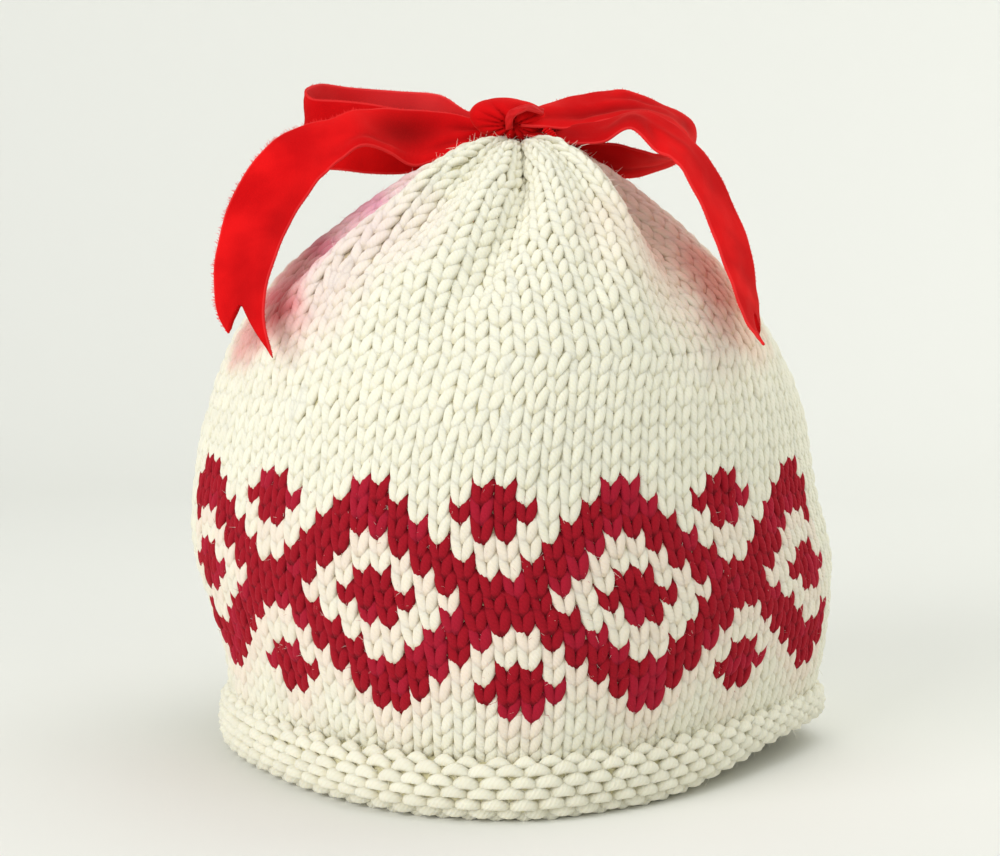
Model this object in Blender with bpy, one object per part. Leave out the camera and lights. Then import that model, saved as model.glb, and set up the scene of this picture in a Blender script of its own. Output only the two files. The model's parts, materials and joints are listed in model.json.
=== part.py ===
"""Tea cosy: one hand-knitted dome with a rolled hem, a gathered crown and a gap in each side,
and the velvet ribbon tied in a bow on top. Lengths are millimetres until mesh_object, which
makes them metres. +Z is up, the bow's side that faces a viewer is -Y, and Z = 0 is under the hem."""

import math

import bpy
import numpy as np
from mathutils import Vector

for leftover in list(bpy.data.objects):
    bpy.data.objects.remove(leftover, do_unlink=True)

# Where the middle of the whole object's plan lies before it is moved to the origin
CENTRE_X, CENTRE_Y = -2.0, -1.0

# Knitted dome
COLUMNS_ROUND = 76
FABRIC = 4.0  # thickness of the knitted cloth
GATHERED = 8.5  # thickness of the bunched cloth at the top
CREASE_Z = 13.4  # where the rolled hem meets the wall
# Outside of the wall, a row for each height: height, then reach to the left, right, front and
# back, then how round each half is in plan, left and right: 2 is an oval, less is drawn to a
# point at the side gap
WALL = (
    (13.4, 82.2, 86.2, 73.0, 72.5, 1.62, 1.34),
    (26.5, 83.4, 87.6, 76.0, 75.0, 1.68, 1.42),
    (40.0, 87.6, 88.6, 78.5, 77.0, 1.72, 1.48),
    (55.0, 91.6, 88.0, 80.0, 78.5, 1.76, 1.54),
    (73.0, 91.2, 83.4, 80.0, 79.0, 1.80, 1.60),
    (94.0, 86.6, 77.8, 77.5, 77.0, 1.86, 1.68),
    (114.5, 78.0, 67.0, 70.5, 69.5, 1.92, 1.80),
    (131.0, 63.8, 54.0, 59.5, 58.5, 1.96, 1.90),
    (150.0, 38.4, 32.6, 40.0, 39.0, 2.0, 2.0),
    (158.5, 24.0, 21.5, 27.5, 26.5, 2.0, 2.0),
    (163.8, 15.0, 12.8, 16.0, 15.0, 2.0, 2.0),
    (166.0, 9.0, 6.5, 7.0, 6.5, 2.0, 2.0),
    (165.6, 0.0, 0.0, 0.0, 0.0, 2.0, 2.0),
)
CORNER = 0.10  # softening of the points in plan
# Places along WALL's rows where the mesh has a ring, outside and inside
RINGS_OUTSIDE = (0, 0.3, 0.7, 1.2, 1.8, 2.4, 3, 3.6, 4.2, 4.7, 5.2, 5.6, 6, 6.35, 6.7, 7, 7.3,
                 7.6, 8, 8.4, 8.8, 9.2, 9.6, 10, 10.4, 10.8, 11.4)
RINGS_INSIDE = (11, 10.2, 9.4, 8.6, 7.9, 7.2, 6.5, 5.8, 5, 4.2, 3.3, 2.3, 1.3)
# How the wall's foot departs from its plan: angle from the front, half-width, reach
FOOT_SWELLS = ((-22.0, 26.0, 5.0),)
FOOT_FADES = 60.0  # height at which the swell is gone
# Folds drawn in by the ribbon: angle at the shoulder, angle at the top, half-width, height
FOLDS = (
    (-84.0, -80.0, 9.0, 1.6), (-71.0, -63.0, 9.0, -4.2), (-57.0, -41.0, 7.5, 3.4),
    (-49.0, -27.0, 5.5, -1.8), (-27.0, -17.0, 7.0, 1.8), (-15.0, 1.0, 6.0, -4.4),
    (6.0, 15.0, 7.0, 1.6), (24.0, 36.0, 7.0, 3.6), (44.0, 56.0, 10.0, -4.6),
    (72.0, 74.0, 9.0, 1.8), (98.0, 98.0, 9.0, -3.4), (119.0, 117.0, 9.0, 2.6),
    (140.0, 143.0, 9.0, -3.8), (163.0, 160.0, 9.0, 3.0), (187.0, 186.0, 9.0, -3.6),
    (210.0, 212.0, 9.0, 2.4), (233.0, 230.0, 10.0, -4.0), (256.0, 258.0, 9.0, 2.2),
)
FOLDS_BEGIN, FOLDS_FULL = 100.0, 147.0  # heights
FOLDS_TURN, FOLDS_TURNED = 118.0, 158.0  # heights between which a fold swings across
FOLD_SMALLEST_RADIUS = 24.0  # nearer the middle a fold's height shrinks with the radius
WAVER = 0.7  # soft unevenness of the whole wall
WAVER_SMALLEST_RADIUS = 40.0
SLOPE_STEP = 0.05  # step along WALL's rows over which its slope is measured
INSIDE_FOLDS = 0.5  # share of the folds' height that shows inside
BUNCHED_FROM, BUNCHED_FULL = 8.0, 11.0  # rows of WALL between which the cloth thickens

# Rolled hem: where it stands out of the wall, as angle, half-width, reach
ROLL_OUT = ((-30.0, 36.0, 5.2), (36.0, 30.0, 3.0), (180.0, 62.0, 4.5))
ROLL_OUT_LEAST = 0.9
ROLL_WIDTH = 13.0
# The roll's section from the crease round to the inside: share of how far it stands out of the
# wall, share of how far it reaches in, height
ROLL = (
    (0.45, 0.0, 14.3), (0.82, 0.0, 12.6), (1.0, 0.0, 9.4), (1.0, 0.0, 6.2), (0.86, 0.0, 2.8),
    (0.55, 0.06, 0.7), (0.2, 0.16, 0.0), (0.0, 0.62, 0.0), (0.0, 0.82, 1.3), (0.0, 0.96, 4.4),
    (0.0, 1.0, 8.0), (0.0, 0.9, 11.6), (0.0, 0.6, 14.8),
)
# The hem hangs clear of the ground on one side: middle, half-width, lift
HEM_LIFT = (80.0, 58.0, 7.5)

# Gap in each side: angle from the front, lowest and highest point, widest opening
GAPS = ((-90.0, 46.0, 132.0, 13.0), (90.0, 46.0, 112.0, 24.0))
GAP_STEPS = 14  # points along each side of a gap
GAP_REACH = (45.0, 120.0)  # nearest and farthest reach of its cutter

# Ribbon
RIBBON_THICK = 1.2
NOTCH = 11.0  # depth of the V cut in each tail
# Each band of ribbon, a row for each place along it: one edge's X, Y, Z, then the other edge's
TAIL_LEFT = (
    (2.0, 1.0, 170.0, 0.0, 0.0, 167.0),
    (-11.7, 6.0, 172.0, -12.1, 0.5, 165.4),
    (-20.3, 9.0, 174.4, -20.1, 0.0, 162.2),
    (-29.2, 9.0, 175.3, -28.5, -2.0, 158.9),
    (-37.6, 7.0, 175.5, -35.5, -7.0, 161.4),
    (-45.1, 4.0, 174.1, -41.8, -11.5, 163.0),
    (-52.5, 0.0, 171.4, -47.3, -15.0, 160.4),
    (-59.7, -4.0, 169.5, -51.0, -17.0, 157.2),
    (-66.6, -8.0, 165.4, -54.2, -19.0, 154.0),
    (-72.8, -12.5, 157.6, -58.4, -21.5, 147.6),
    (-77.4, -18.0, 148.1, -60.9, -26.0, 142.0),
    (-79.5, -25.0, 136.6, -63.2, -35.5, 134.6),
    (-79.3, -31.5, 127.0, -64.6, -44.0, 126.0),
    (-77.6, -36.5, 119.6, -63.8, -50.5, 117.6),
    (-74.4, -40.5, 115.6, -61.6, -55.5, 110.4),
)
LOOP_LEFT = (
    (-2.0, 6.0, 172.4, -2.0, 6.0, 168.2),
    (-14.0, 16.0, 174.9, -14.0, 14.0, 167.4),
    (-22.7, 24.0, 180.2, -22.1, 22.5, 162.9),
    (-34.3, 29.0, 181.6, -34.4, 28.0, 162.0),
    (-48.3, 31.0, 182.8, -48.4, 30.0, 163.2),
    (-56.7, 28.0, 183.7, -56.6, 27.0, 164.2),
    (-60.8, 22.0, 181.6, -60.6, 21.0, 162.2),
    (-58.2, 16.5, 178.7, -58.2, 15.0, 159.3),
    (-50.3, 15.0, 178.0, -50.3, 13.0, 158.5),
    (-42.2, 15.0, 177.2, -42.2, 13.0, 157.6),
    (-32.2, 14.5, 175.3, -32.1, 12.0, 157.6),
    (-22.3, 12.5, 173.5, -22.3, 9.5, 160.2),
    (-12.5, 8.5, 171.6, -12.5, 6.0, 165.0),
    (-2.0, 4.0, 169.9, -2.0, 4.0, 167.0),
)
LOOP_RIGHT = (
    (-3.0, 5.0, 173.4, -2.0, 3.0, 169.6),
    (5.0, 8.0, 175.4, 6.0, 1.5, 169.6),
    (12.5, 11.0, 177.8, 13.3, 0.0, 169.5),
    (18.4, 14.0, 179.7, 18.8, -2.0, 170.0),
    (24.4, 15.0, 180.6, 24.5, -3.0, 171.7),
    (30.4, 15.0, 180.4, 30.7, -3.2, 173.0),
    (37.0, 15.0, 178.2, 36.4, -3.2, 172.3),
    (43.2, 15.0, 175.2, 41.2, -3.2, 170.4),
    (47.7, 15.0, 172.6, 43.8, -3.2, 167.7),
    (49.6, 15.0, 168.6, 44.3, -3.0, 164.9),
    (47.4, 15.0, 163.8, 41.4, -3.0, 162.4),
    (41.6, 15.5, 159.5, 36.6, -2.6, 162.4),
    (33.7, 15.0, 156.9, 31.2, -1.8, 163.8),
    (26.1, 13.5, 156.7, 25.0, -0.8, 165.2),
    (18.1, 10.4, 159.6, 18.4, 0.0, 166.0),
    (11.0, 6.8, 163.6, 11.3, 0.0, 167.2),
    (0.0, 3.0, 166.6, 0.0, 0.0, 169.4),
)
TAIL_RIGHT = (
    (0.0, 0.0, 170.0, 0.0, -4.0, 167.4),
    (8.0, -2.5, 168.8, 7.6, -8.0, 166.0),
    (14.7, -4.5, 169.8, 14.4, -12.0, 164.7),
    (22.7, -6.0, 171.2, 22.1, -16.0, 164.8),
    (30.4, -7.0, 173.4, 28.8, -20.0, 168.2),
    (37.0, -9.0, 172.0, 34.4, -25.0, 162.4),
    (43.0, -11.0, 168.1, 38.2, -28.0, 160.2),
    (47.8, -13.0, 163.0, 41.0, -30.0, 157.8),
    (52.4, -15.5, 156.4, 44.2, -32.0, 151.5),
    (56.7, -19.0, 147.1, 47.9, -35.5, 142.6),
    (59.4, -24.0, 138.4, 50.4, -40.5, 135.2),
    (60.4, -29.5, 130.2, 52.5, -46.0, 127.6),
    (60.5, -35.0, 123.9, 54.0, -52.0, 122.0),
    (60.0, -40.0, 119.0, 56.0, -57.0, 117.6),
    (59.4, -45.0, 114.6, 58.4, -62.0, 113.8),
)
SECTIONS_PER_ROW = 2
ACROSS = (0.0, 0.25, 0.5, 0.75, 1.0)  # places of the points across the ribbon

# Knot: half-sizes, middle, and the folds that fan over it
KNOT_HALF = (12.6, 9.2, 6.6)
KNOT_AT = (-1.6, 1.6, 171.6)
KNOT_FOLDS, KNOT_FOLD_DEPTH = 9, 0.11
KNOT_PINCH = (0.15, 0.75)  # where the folds meet, left of and below the middle, in half-sizes
KNOT_SLOPE = 1.2  # drop of the knot's right end
KNOT_ROUNDS, KNOT_LEVELS = 28, 12
CLEARANCE_RINGS_FROM = 14  # the first of RINGS_OUTSIDE that the ribbon comes near
CLEARANCE_FOOT = 100.0  # height at which the clearance shape ends, inside the wall
SEAT = 0.3  # clear space between the ribbon and the knitted crown
SMOOTH_ANGLE = math.radians(40.0)


def along(table, place):
    """The table's values at a fractional row number, on a smooth curve through its rows."""
    rows = np.asarray(table, float)
    first = min(int(place), len(rows) - 2)
    t = place - first
    p1, p2 = rows[first], rows[first + 1]
    p0 = rows[first - 1] if first > 0 else 2 * p1 - p2
    p3 = rows[first + 2] if first + 2 < len(rows) else 2 * p2 - p1
    return 0.5 * (2 * p1 + (p2 - p0) * t + (2 * p0 - 5 * p1 + 4 * p2 - p3) * t * t
                  + (3 * p1 - p0 - 3 * p2 + p3) * t ** 3)


def turned(angle, other):
    """Degrees from other to angle, the short way round."""
    return (angle - other + 180.0) % 360.0 - 180.0


def eased(value, low, high):
    """0 below low, 1 above high, smooth between."""
    t = min(1.0, max(0.0, (value - low) / (high - low)))
    return t * t * (3 - 2 * t)


def bell(angle, middle, half_width):
    return math.exp(-((turned(angle, middle) / half_width) ** 2))


def plan_reach(row, angle):
    """Reach of the plan in the direction at this angle from the front, from a row of WALL."""
    _, left, right, front, back, round_left, round_right = row
    s, c = math.sin(math.radians(angle)), math.cos(math.radians(angle))
    power = round_left + (round_right - round_left) * (0.5 + 0.5 * s)
    across = math.hypot(s, CORNER * c) / max(right if s > 0 else left, 1e-6)
    ahead = math.hypot(c, CORNER * s) / max(front if c > 0 else back, 1e-6)
    return (across ** power + ahead ** power) ** (-1.0 / power)


def wall_point(angle, place, inward=0.0, fold_share=1.0):
    """A point of the wall, moved inward along its slope, with a share of the crown's folds."""
    row = along(WALL, place)
    ahead = along(WALL, min(place + SLOPE_STEP, len(WALL) - 1.0))
    behind = along(WALL, max(place - SLOPE_STEP, 0.0))
    height, reach = row[0], plan_reach(row, angle)
    climb = ahead[0] - behind[0]
    widen = plan_reach(ahead, angle) - plan_reach(behind, angle)
    length = math.hypot(climb, widen)
    out, up = climb / length, -widen / length
    foot = 1.0 - eased(height, CREASE_Z, FOOT_FADES)
    reach += foot * sum(h * bell(angle, m, w) for m, w, h in FOOT_SWELLS)
    a = math.radians(angle)
    calm = min(1.0, reach / WAVER_SMALLEST_RADIUS)
    lift = WAVER * calm * (math.sin(3 * a + height / 31.0)
                           + 0.6 * math.sin(5 * a - height / 19.0 + 1.0))
    up_crown = eased(height, FOLDS_BEGIN, FOLDS_FULL)
    shrink = min(1.0, reach / FOLD_SMALLEST_RADIUS)
    swing = eased(height, FOLDS_TURN, FOLDS_TURNED)
    for low, top, half_width, tall in FOLDS:
        middle = low + (top - low) * swing
        lift += fold_share * up_crown * shrink * tall * bell(angle, middle, half_width)
    move = lift - inward
    reach, height = reach + out * move, height + up * move
    return (reach * math.sin(a), -reach * math.cos(a), height)


def inside_depth(place):
    """Thickness of the cloth, more where the ribbon bunches it."""
    return FABRIC + (GATHERED - FABRIC) * eased(place, BUNCHED_FROM, BUNCHED_FULL)


def roll_point(angle, share_out, share_in, height):
    foot = wall_point(angle, 0.0)
    out = ROLL_OUT_LEAST + sum(h * bell(angle, m, w) for m, w, h in ROLL_OUT)
    reach = math.hypot(foot[0], foot[1]) + share_out * out - share_in * (ROLL_WIDTH - out)
    middle, half_width, most = HEM_LIFT
    aside = min(1.0, abs(turned(angle, middle)) / half_width)
    lift = most * math.cos(aside * math.pi / 2) ** 2
    a = math.radians(angle)
    return (reach * math.sin(a), -reach * math.cos(a), height + lift * (1 - height / ROLL[-1][2]))


def tube_between_poles(rings, first_pole, last_pole):
    """Faces of rings joined one to the next, closed at each end by a fan to a point."""
    count = len(rings[0])
    points = [p for ring in rings for p in ring] + [first_pole, last_pole]
    faces = []
    for r in range(len(rings) - 1):
        for c in range(count):
            d = (c + 1) % count
            faces.append((r * count + c, (r + 1) * count + c, (r + 1) * count + d, r * count + d))
    for c in range(count):
        d = (c + 1) % count
        last = (len(rings) - 1) * count
        faces.append((len(points) - 2, c, d))
        faces.append((len(points) - 1, last + d, last + c))
    return points, faces


def mesh_object(name, points, faces, material=None, helper=False):
    """A mesh object from points in millimetres, smooth shaded, its faces turned out."""
    mesh = bpy.data.meshes.new(name)
    shift = Vector((CENTRE_X, CENTRE_Y, 0.0))
    mesh.from_pydata([(Vector(p) - shift) * 0.001 for p in points], [], faces)
    mesh.update()
    obj = bpy.data.objects.new(name, mesh)
    bpy.context.scene.collection.objects.link(obj)
    if volume(mesh) < 0:
        mesh.flip_normals()
    if material:
        mesh.materials.append(material)
    mesh.shade_smooth()
    if helper:
        obj.hide_render = True
        obj.display_type = "WIRE"
    return obj


def volume(mesh):
    mesh.calc_loop_triangles()
    at = [v.co for v in mesh.vertices]
    return sum(at[t.vertices[0]].dot(at[t.vertices[1]].cross(at[t.vertices[2]]))
               for t in mesh.loop_triangles)


def boolean(obj, other, operation):
    modifier = obj.modifiers.new(operation.title(), "BOOLEAN")
    modifier.operation = operation
    modifier.solver = "EXACT"
    modifier.object = other


def cloth_material(name, colour, roughness, sheen):
    material = bpy.data.materials.new(name)
    material.use_nodes = True
    shader = material.node_tree.nodes["Principled BSDF"]
    shader.inputs["Base Color"].default_value = (*colour, 1.0)
    shader.inputs["Roughness"].default_value = roughness
    shader.inputs["Sheen Weight"].default_value = sheen
    return material


def gap_cutter(name, angle, low, high, width):
    """A long lens across the wall, pointed at its foot and its top."""
    a = math.radians(angle)
    out, side = (math.sin(a), -math.cos(a)), (math.cos(a), math.sin(a))
    outline = []
    for direction in (1, -1):
        for i in range(GAP_STEPS):
            t = i / GAP_STEPS if direction > 0 else 1 - i / GAP_STEPS
            across = direction * width / 2 * math.sin(math.pi * t) ** 0.8
            outline.append((across, low + (high - low) * t))
    points = [(out[0] * reach + side[0] * across, out[1] * reach + side[1] * across, z)
              for reach in GAP_REACH for across, z in outline]
    count = len(outline)
    faces = [tuple(range(count)), tuple(range(2 * count - 1, count - 1, -1))]
    faces += [(i, i + count, (i + 1) % count + count, (i + 1) % count) for i in range(count)]
    return mesh_object(name, points, faces, helper=True)


def band(name, table, notch=0.0):
    """A band of ribbon between two edges, as a closed slab, its last end cut to a V."""
    rows = (len(table) - 1) * SECTIONS_PER_ROW
    last = len(table) - 1.0
    tail_length = float(np.linalg.norm(np.subtract(table[-1][:3], table[-2][:3])))

    def middle(place, v):
        row = along(table, place)
        return row[:3] * (1 - v) + row[3:] * v

    grid = []
    for r in range(rows + 1):
        line = []
        for v in ACROSS:
            cut = notch / tail_length * (1 - abs(2 * v - 1))
            place = (last - cut) * r / rows
            here = middle(place, v)
            step = middle(min(place + 0.02, last), v) - middle(max(place - 0.02, 0.0), v)
            side = middle(place, 1.0) - middle(place, 0.0)
            normal = np.cross(step, side)
            line.append((here, normal / np.linalg.norm(normal)))
        grid.append(line)
    wide = len(ACROSS)
    points = [tuple(p + n * face * RIBBON_THICK / 2) for face in (1, -1)
              for line in grid for p, n in line]
    under = len(grid) * wide
    faces = []
    for r in range(rows):
        for c in range(wide - 1):
            a, b = r * wide + c, (r + 1) * wide + c
            faces.append((a, b, b + 1, a + 1))
            faces.append((under + a, under + a + 1, under + b + 1, under + b))
        for c in (0, wide - 1):
            a, b = r * wide + c, (r + 1) * wide + c
            quad = (a, under + a, under + b, b)
            faces.append(quad if c == 0 else quad[::-1])
    for r in (0, rows):
        for c in range(wide - 1):
            a = r * wide + c
            quad = (a, a + 1, under + a + 1, under + a)
            faces.append(quad if r == 0 else quad[::-1])
    return mesh_object(name, points, faces, helper=True)


def knot_points():
    """The knot: a plump oval with folds that fan from its lower front to its top."""
    rings = []
    for level in range(1, KNOT_LEVELS):
        t = math.pi * level / KNOT_LEVELS
        ring = []
        for c in range(KNOT_ROUNDS):
            a = 2 * math.pi * c / KNOT_ROUNDS
            x, y, z = math.cos(t), math.sin(t) * math.cos(a), math.sin(t) * math.sin(a)
            fan = math.atan2(z + KNOT_PINCH[1], x + KNOT_PINCH[0])
            fold = 1 + KNOT_FOLD_DEPTH * math.cos(KNOT_FOLDS * fan) * math.sin(t)
            ring.append((KNOT_AT[0] + KNOT_HALF[0] * x * (1 + 0.1 * z),
                         KNOT_AT[1] + KNOT_HALF[1] * y * fold,
                         KNOT_AT[2] + KNOT_HALF[2] * z * fold - KNOT_SLOPE * x))
        rings.append(ring)
    poles = [(KNOT_AT[0] + KNOT_HALF[0] * end, KNOT_AT[1], KNOT_AT[2] - KNOT_SLOPE * end)
             for end in (1, -1)]
    return tube_between_poles(rings, poles[0], poles[1])


def crown_clearance(name):
    """The crown a little larger, so that what it cuts from the ribbon leaves clear space."""
    angles = [360.0 * c / COLUMNS_ROUND for c in range(COLUMNS_ROUND)]
    rings = [[wall_point(a, place, inward=-SEAT) for a in angles]
             for place in RINGS_OUTSIDE[CLEARANCE_RINGS_FROM:]]
    foot = [(x / 2, y / 2, CLEARANCE_FOOT) for x, y, _ in rings[0]]
    summit = wall_point(0.0, len(WALL) - 1.0, inward=-SEAT)
    return mesh_object(name, *tube_between_poles(
        [foot] + rings, (0.0, 0.0, CLEARANCE_FOOT), summit), helper=True)


# Materials
wool = cloth_material("cream_wool", (0.83, 0.79, 0.66), 0.9, 0.3)
velvet = cloth_material("scarlet_velvet", (0.62, 0.015, 0.02), 0.6, 0.6)

# The dome: down the outside, round the roll and up the inside
round_angles = [360.0 * c / COLUMNS_ROUND for c in range(COLUMNS_ROUND)]
dome_rings = [[wall_point(a, place) for a in round_angles] for place in reversed(RINGS_OUTSIDE)]
dome_rings += [[roll_point(a, *row) for a in round_angles] for row in ROLL]
dome_rings += [[wall_point(a, place, inside_depth(place), INSIDE_FOLDS) for a in round_angles]
               for place in reversed(RINGS_INSIDE)]
top = wall_point(0.0, len(WALL) - 1.0)
cosy = mesh_object("knitted_cosy", *tube_between_poles(
    dome_rings, top, (0.0, 0.0, top[2] - GATHERED)), wool)
for number, gap in enumerate(GAPS):
    boolean(cosy, gap_cutter(f"gap_cutter_{number}", *gap), "DIFFERENCE")

# The ribbon is one length, so its knot, loops and tails are one body
bow = mesh_object("ribbon_bow", *knot_points(), velvet)
for name, table, notch in (("loop_left", LOOP_LEFT, 0.0), ("loop_right", LOOP_RIGHT, 0.0),
                           ("tail_left", TAIL_LEFT, NOTCH), ("tail_right", TAIL_RIGHT, NOTCH)):
    boolean(bow, band(name, table, notch), "UNION")
boolean(bow, crown_clearance("crown_clearance"), "DIFFERENCE")
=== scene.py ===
# %% [markdown]
# # A knitted tea cosy tied with a velvet bow
#
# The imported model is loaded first, as a fixed frame: two solids, the knitted dome and the ribbon.
# Everything after that dresses them. The dome's smooth solid is replaced by a thin backing cloth
# with every stitch laid on it, because knitting is seen as stitches and not as a surface.
# %% Load the frame
import json
import math

import bpy
import numpy as np
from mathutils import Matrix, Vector

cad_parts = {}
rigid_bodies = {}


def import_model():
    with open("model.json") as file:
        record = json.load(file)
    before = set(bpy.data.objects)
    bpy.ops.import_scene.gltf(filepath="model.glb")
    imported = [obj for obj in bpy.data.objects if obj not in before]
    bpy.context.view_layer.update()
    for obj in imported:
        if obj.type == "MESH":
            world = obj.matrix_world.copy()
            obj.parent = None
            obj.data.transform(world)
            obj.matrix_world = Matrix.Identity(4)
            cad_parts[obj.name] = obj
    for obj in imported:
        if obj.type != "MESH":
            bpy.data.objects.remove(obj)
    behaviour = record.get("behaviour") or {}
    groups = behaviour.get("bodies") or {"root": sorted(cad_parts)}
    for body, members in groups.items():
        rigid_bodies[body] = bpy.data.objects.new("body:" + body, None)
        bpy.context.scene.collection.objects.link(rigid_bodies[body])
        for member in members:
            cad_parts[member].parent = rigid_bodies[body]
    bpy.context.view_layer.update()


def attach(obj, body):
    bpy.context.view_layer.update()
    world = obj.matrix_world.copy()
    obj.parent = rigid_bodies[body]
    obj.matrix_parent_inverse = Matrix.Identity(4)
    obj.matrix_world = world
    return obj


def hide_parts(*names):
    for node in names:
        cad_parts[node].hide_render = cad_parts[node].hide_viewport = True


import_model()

# %% [markdown]
# ## The shape of the dome
#
# A hand-knitted cosy has no exact form. It is drawn here as rows: for each height, how far the
# cloth reaches left, right, front and back, and how round it is in plan. A smooth curve through
# the rows gives every height between them. The folds that the ribbon gathers are soft ridges and
# troughs, one row of a table each. These are the same named values as in the solid's own source,
# so the stitches lie exactly where the solid is. Lengths are millimetres until a mesh is made.
# %% Sizes of the knitted dome
CENTRE = np.array((-2.0, -1.0, 0.0))  # middle of the plan before it was moved to the origin
FABRIC, GATHERED = 4.0, 8.5  # thickness of the cloth, and of the bunched crown
CREASE_Z = 13.4  # height at which the wall meets the rolled hem
# height, reach left, right, front, back, roundness of the left half, of the right half
WALL = (
    (13.4, 82.2, 86.2, 73.0, 72.5, 1.62, 1.34),
    (26.5, 83.4, 87.6, 76.0, 75.0, 1.68, 1.42),
    (40.0, 87.6, 88.6, 78.5, 77.0, 1.72, 1.48),
    (55.0, 91.6, 88.0, 80.0, 78.5, 1.76, 1.54),
    (73.0, 91.2, 83.4, 80.0, 79.0, 1.80, 1.60),
    (94.0, 86.6, 77.8, 77.5, 77.0, 1.86, 1.68),
    (114.5, 78.0, 67.0, 70.5, 69.5, 1.92, 1.80),
    (131.0, 63.8, 54.0, 59.5, 58.5, 1.96, 1.90),
    (150.0, 38.4, 32.6, 40.0, 39.0, 2.0, 2.0),
    (158.5, 24.0, 21.5, 27.5, 26.5, 2.0, 2.0),
    (163.8, 15.0, 12.8, 16.0, 15.0, 2.0, 2.0),
    (166.0, 9.0, 6.5, 7.0, 6.5, 2.0, 2.0),
    (165.6, 0.0, 0.0, 0.0, 0.0, 2.0, 2.0),
)
LAST_ROW = len(WALL) - 1.0
CORNER = 0.10  # how softly the plan turns where its halves meet
FOOT_SWELLS = ((-22.0, 26.0, 5.0),)  # angle, half-width, reach
FOOT_FADES = 60.0  # height at which they are gone
# angle at the shoulder, angle at the top, half-width, height
FOLDS = (
    (-84.0, -80.0, 9.0, 1.6), (-71.0, -63.0, 9.0, -4.2), (-57.0, -41.0, 7.5, 3.4),
    (-49.0, -27.0, 5.5, -1.8), (-27.0, -17.0, 7.0, 1.8), (-15.0, 1.0, 6.0, -4.4),
    (6.0, 15.0, 7.0, 1.6), (24.0, 36.0, 7.0, 3.6), (44.0, 56.0, 10.0, -4.6),
    (72.0, 74.0, 9.0, 1.8), (98.0, 98.0, 9.0, -3.4), (119.0, 117.0, 9.0, 2.6),
    (140.0, 143.0, 9.0, -3.8), (163.0, 160.0, 9.0, 3.0), (187.0, 186.0, 9.0, -3.6),
    (210.0, 212.0, 9.0, 2.4), (233.0, 230.0, 10.0, -4.0), (256.0, 258.0, 9.0, 2.2),
)
FOLDS_BEGIN, FOLDS_FULL = 100.0, 147.0
FOLDS_TURN, FOLDS_TURNED = 118.0, 158.0  # heights between which a fold swings across
FOLD_SMALLEST_RADIUS = 24.0
WAVER, WAVER_SMALLEST_RADIUS = 0.7, 40.0
SLOPE_STEP = 0.05
INSIDE_FOLDS = 0.5
BUNCHED_FROM, BUNCHED_FULL = 8.0, 11.0
# Rolled hem, where it stands out: angle, half-width, reach
ROLL_OUT = ((-30.0, 36.0, 5.2), (36.0, 30.0, 3.0), (180.0, 62.0, 4.5))
ROLL_OUT_LEAST = 0.9
ROLL_WIDTH = 13.0
# share of the reach outwards, share of the reach inwards, height
ROLL = (
    (0.45, 0.0, 14.3), (0.82, 0.0, 12.6), (1.0, 0.0, 9.4), (1.0, 0.0, 6.2), (0.86, 0.0, 2.8),
    (0.55, 0.06, 0.7), (0.2, 0.16, 0.0), (0.0, 0.62, 0.0), (0.0, 0.82, 1.3), (0.0, 0.96, 4.4),
    (0.0, 1.0, 8.0), (0.0, 0.9, 11.6), (0.0, 0.6, 14.8),
)
ROLL_END = len(ROLL) - 1.0
HEM_LIFT = (80.0, 58.0, 7.5)  # angle, half-width, height
# angle from the front, lowest and highest point, widest opening
GAPS = ((-90.0, 46.0, 132.0, 13.0), (90.0, 46.0, 112.0, 24.0))


# %% Helpers that draw the dome's surface
def along(table, place):
    """The table's values at fractional row numbers, on a smooth curve through its rows."""
    rows, place = np.asarray(table, float), np.asarray(place, float)
    first = np.clip(place.astype(int), 0, len(rows) - 2)
    t = (place - first)[..., None]
    p1, p2 = rows[first], rows[first + 1]
    p0 = np.where((first > 0)[..., None], rows[np.maximum(first - 1, 0)], 2 * p1 - p2)
    p3 = np.where((first + 2 < len(rows))[..., None], rows[np.minimum(first + 2, len(rows) - 1)],
                  2 * p2 - p1)
    return 0.5 * (2 * p1 + (p2 - p0) * t + (2 * p0 - 5 * p1 + 4 * p2 - p3) * t * t
                  + (3 * p1 - p0 - 3 * p2 + p3) * t ** 3)


def eased(value, low, high):
    t = np.clip((np.asarray(value, float) - low) / (high - low), 0.0, 1.0)
    return t * t * (3 - 2 * t)


def turned(angle, other):
    return (angle - other + 180.0) % 360.0 - 180.0


def bell(angle, middle, half_width):
    return np.exp(-((turned(angle, middle) / half_width) ** 2))


def plan_reach(row, angle):
    """Reach of the plan at this angle from the front, from rows of WALL."""
    _, left, right, front, back, round_left, round_right = np.moveaxis(row, -1, 0)
    s, c = np.sin(np.radians(angle)), np.cos(np.radians(angle))
    power = round_left + (round_right - round_left) * (0.5 + 0.5 * s)
    across = np.hypot(s, CORNER * c) / np.maximum(np.where(s > 0, right, left), 1e-6)
    ahead = np.hypot(c, CORNER * s) / np.maximum(np.where(c > 0, front, back), 1e-6)
    return (across ** power + ahead ** power) ** (-1.0 / power)


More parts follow.
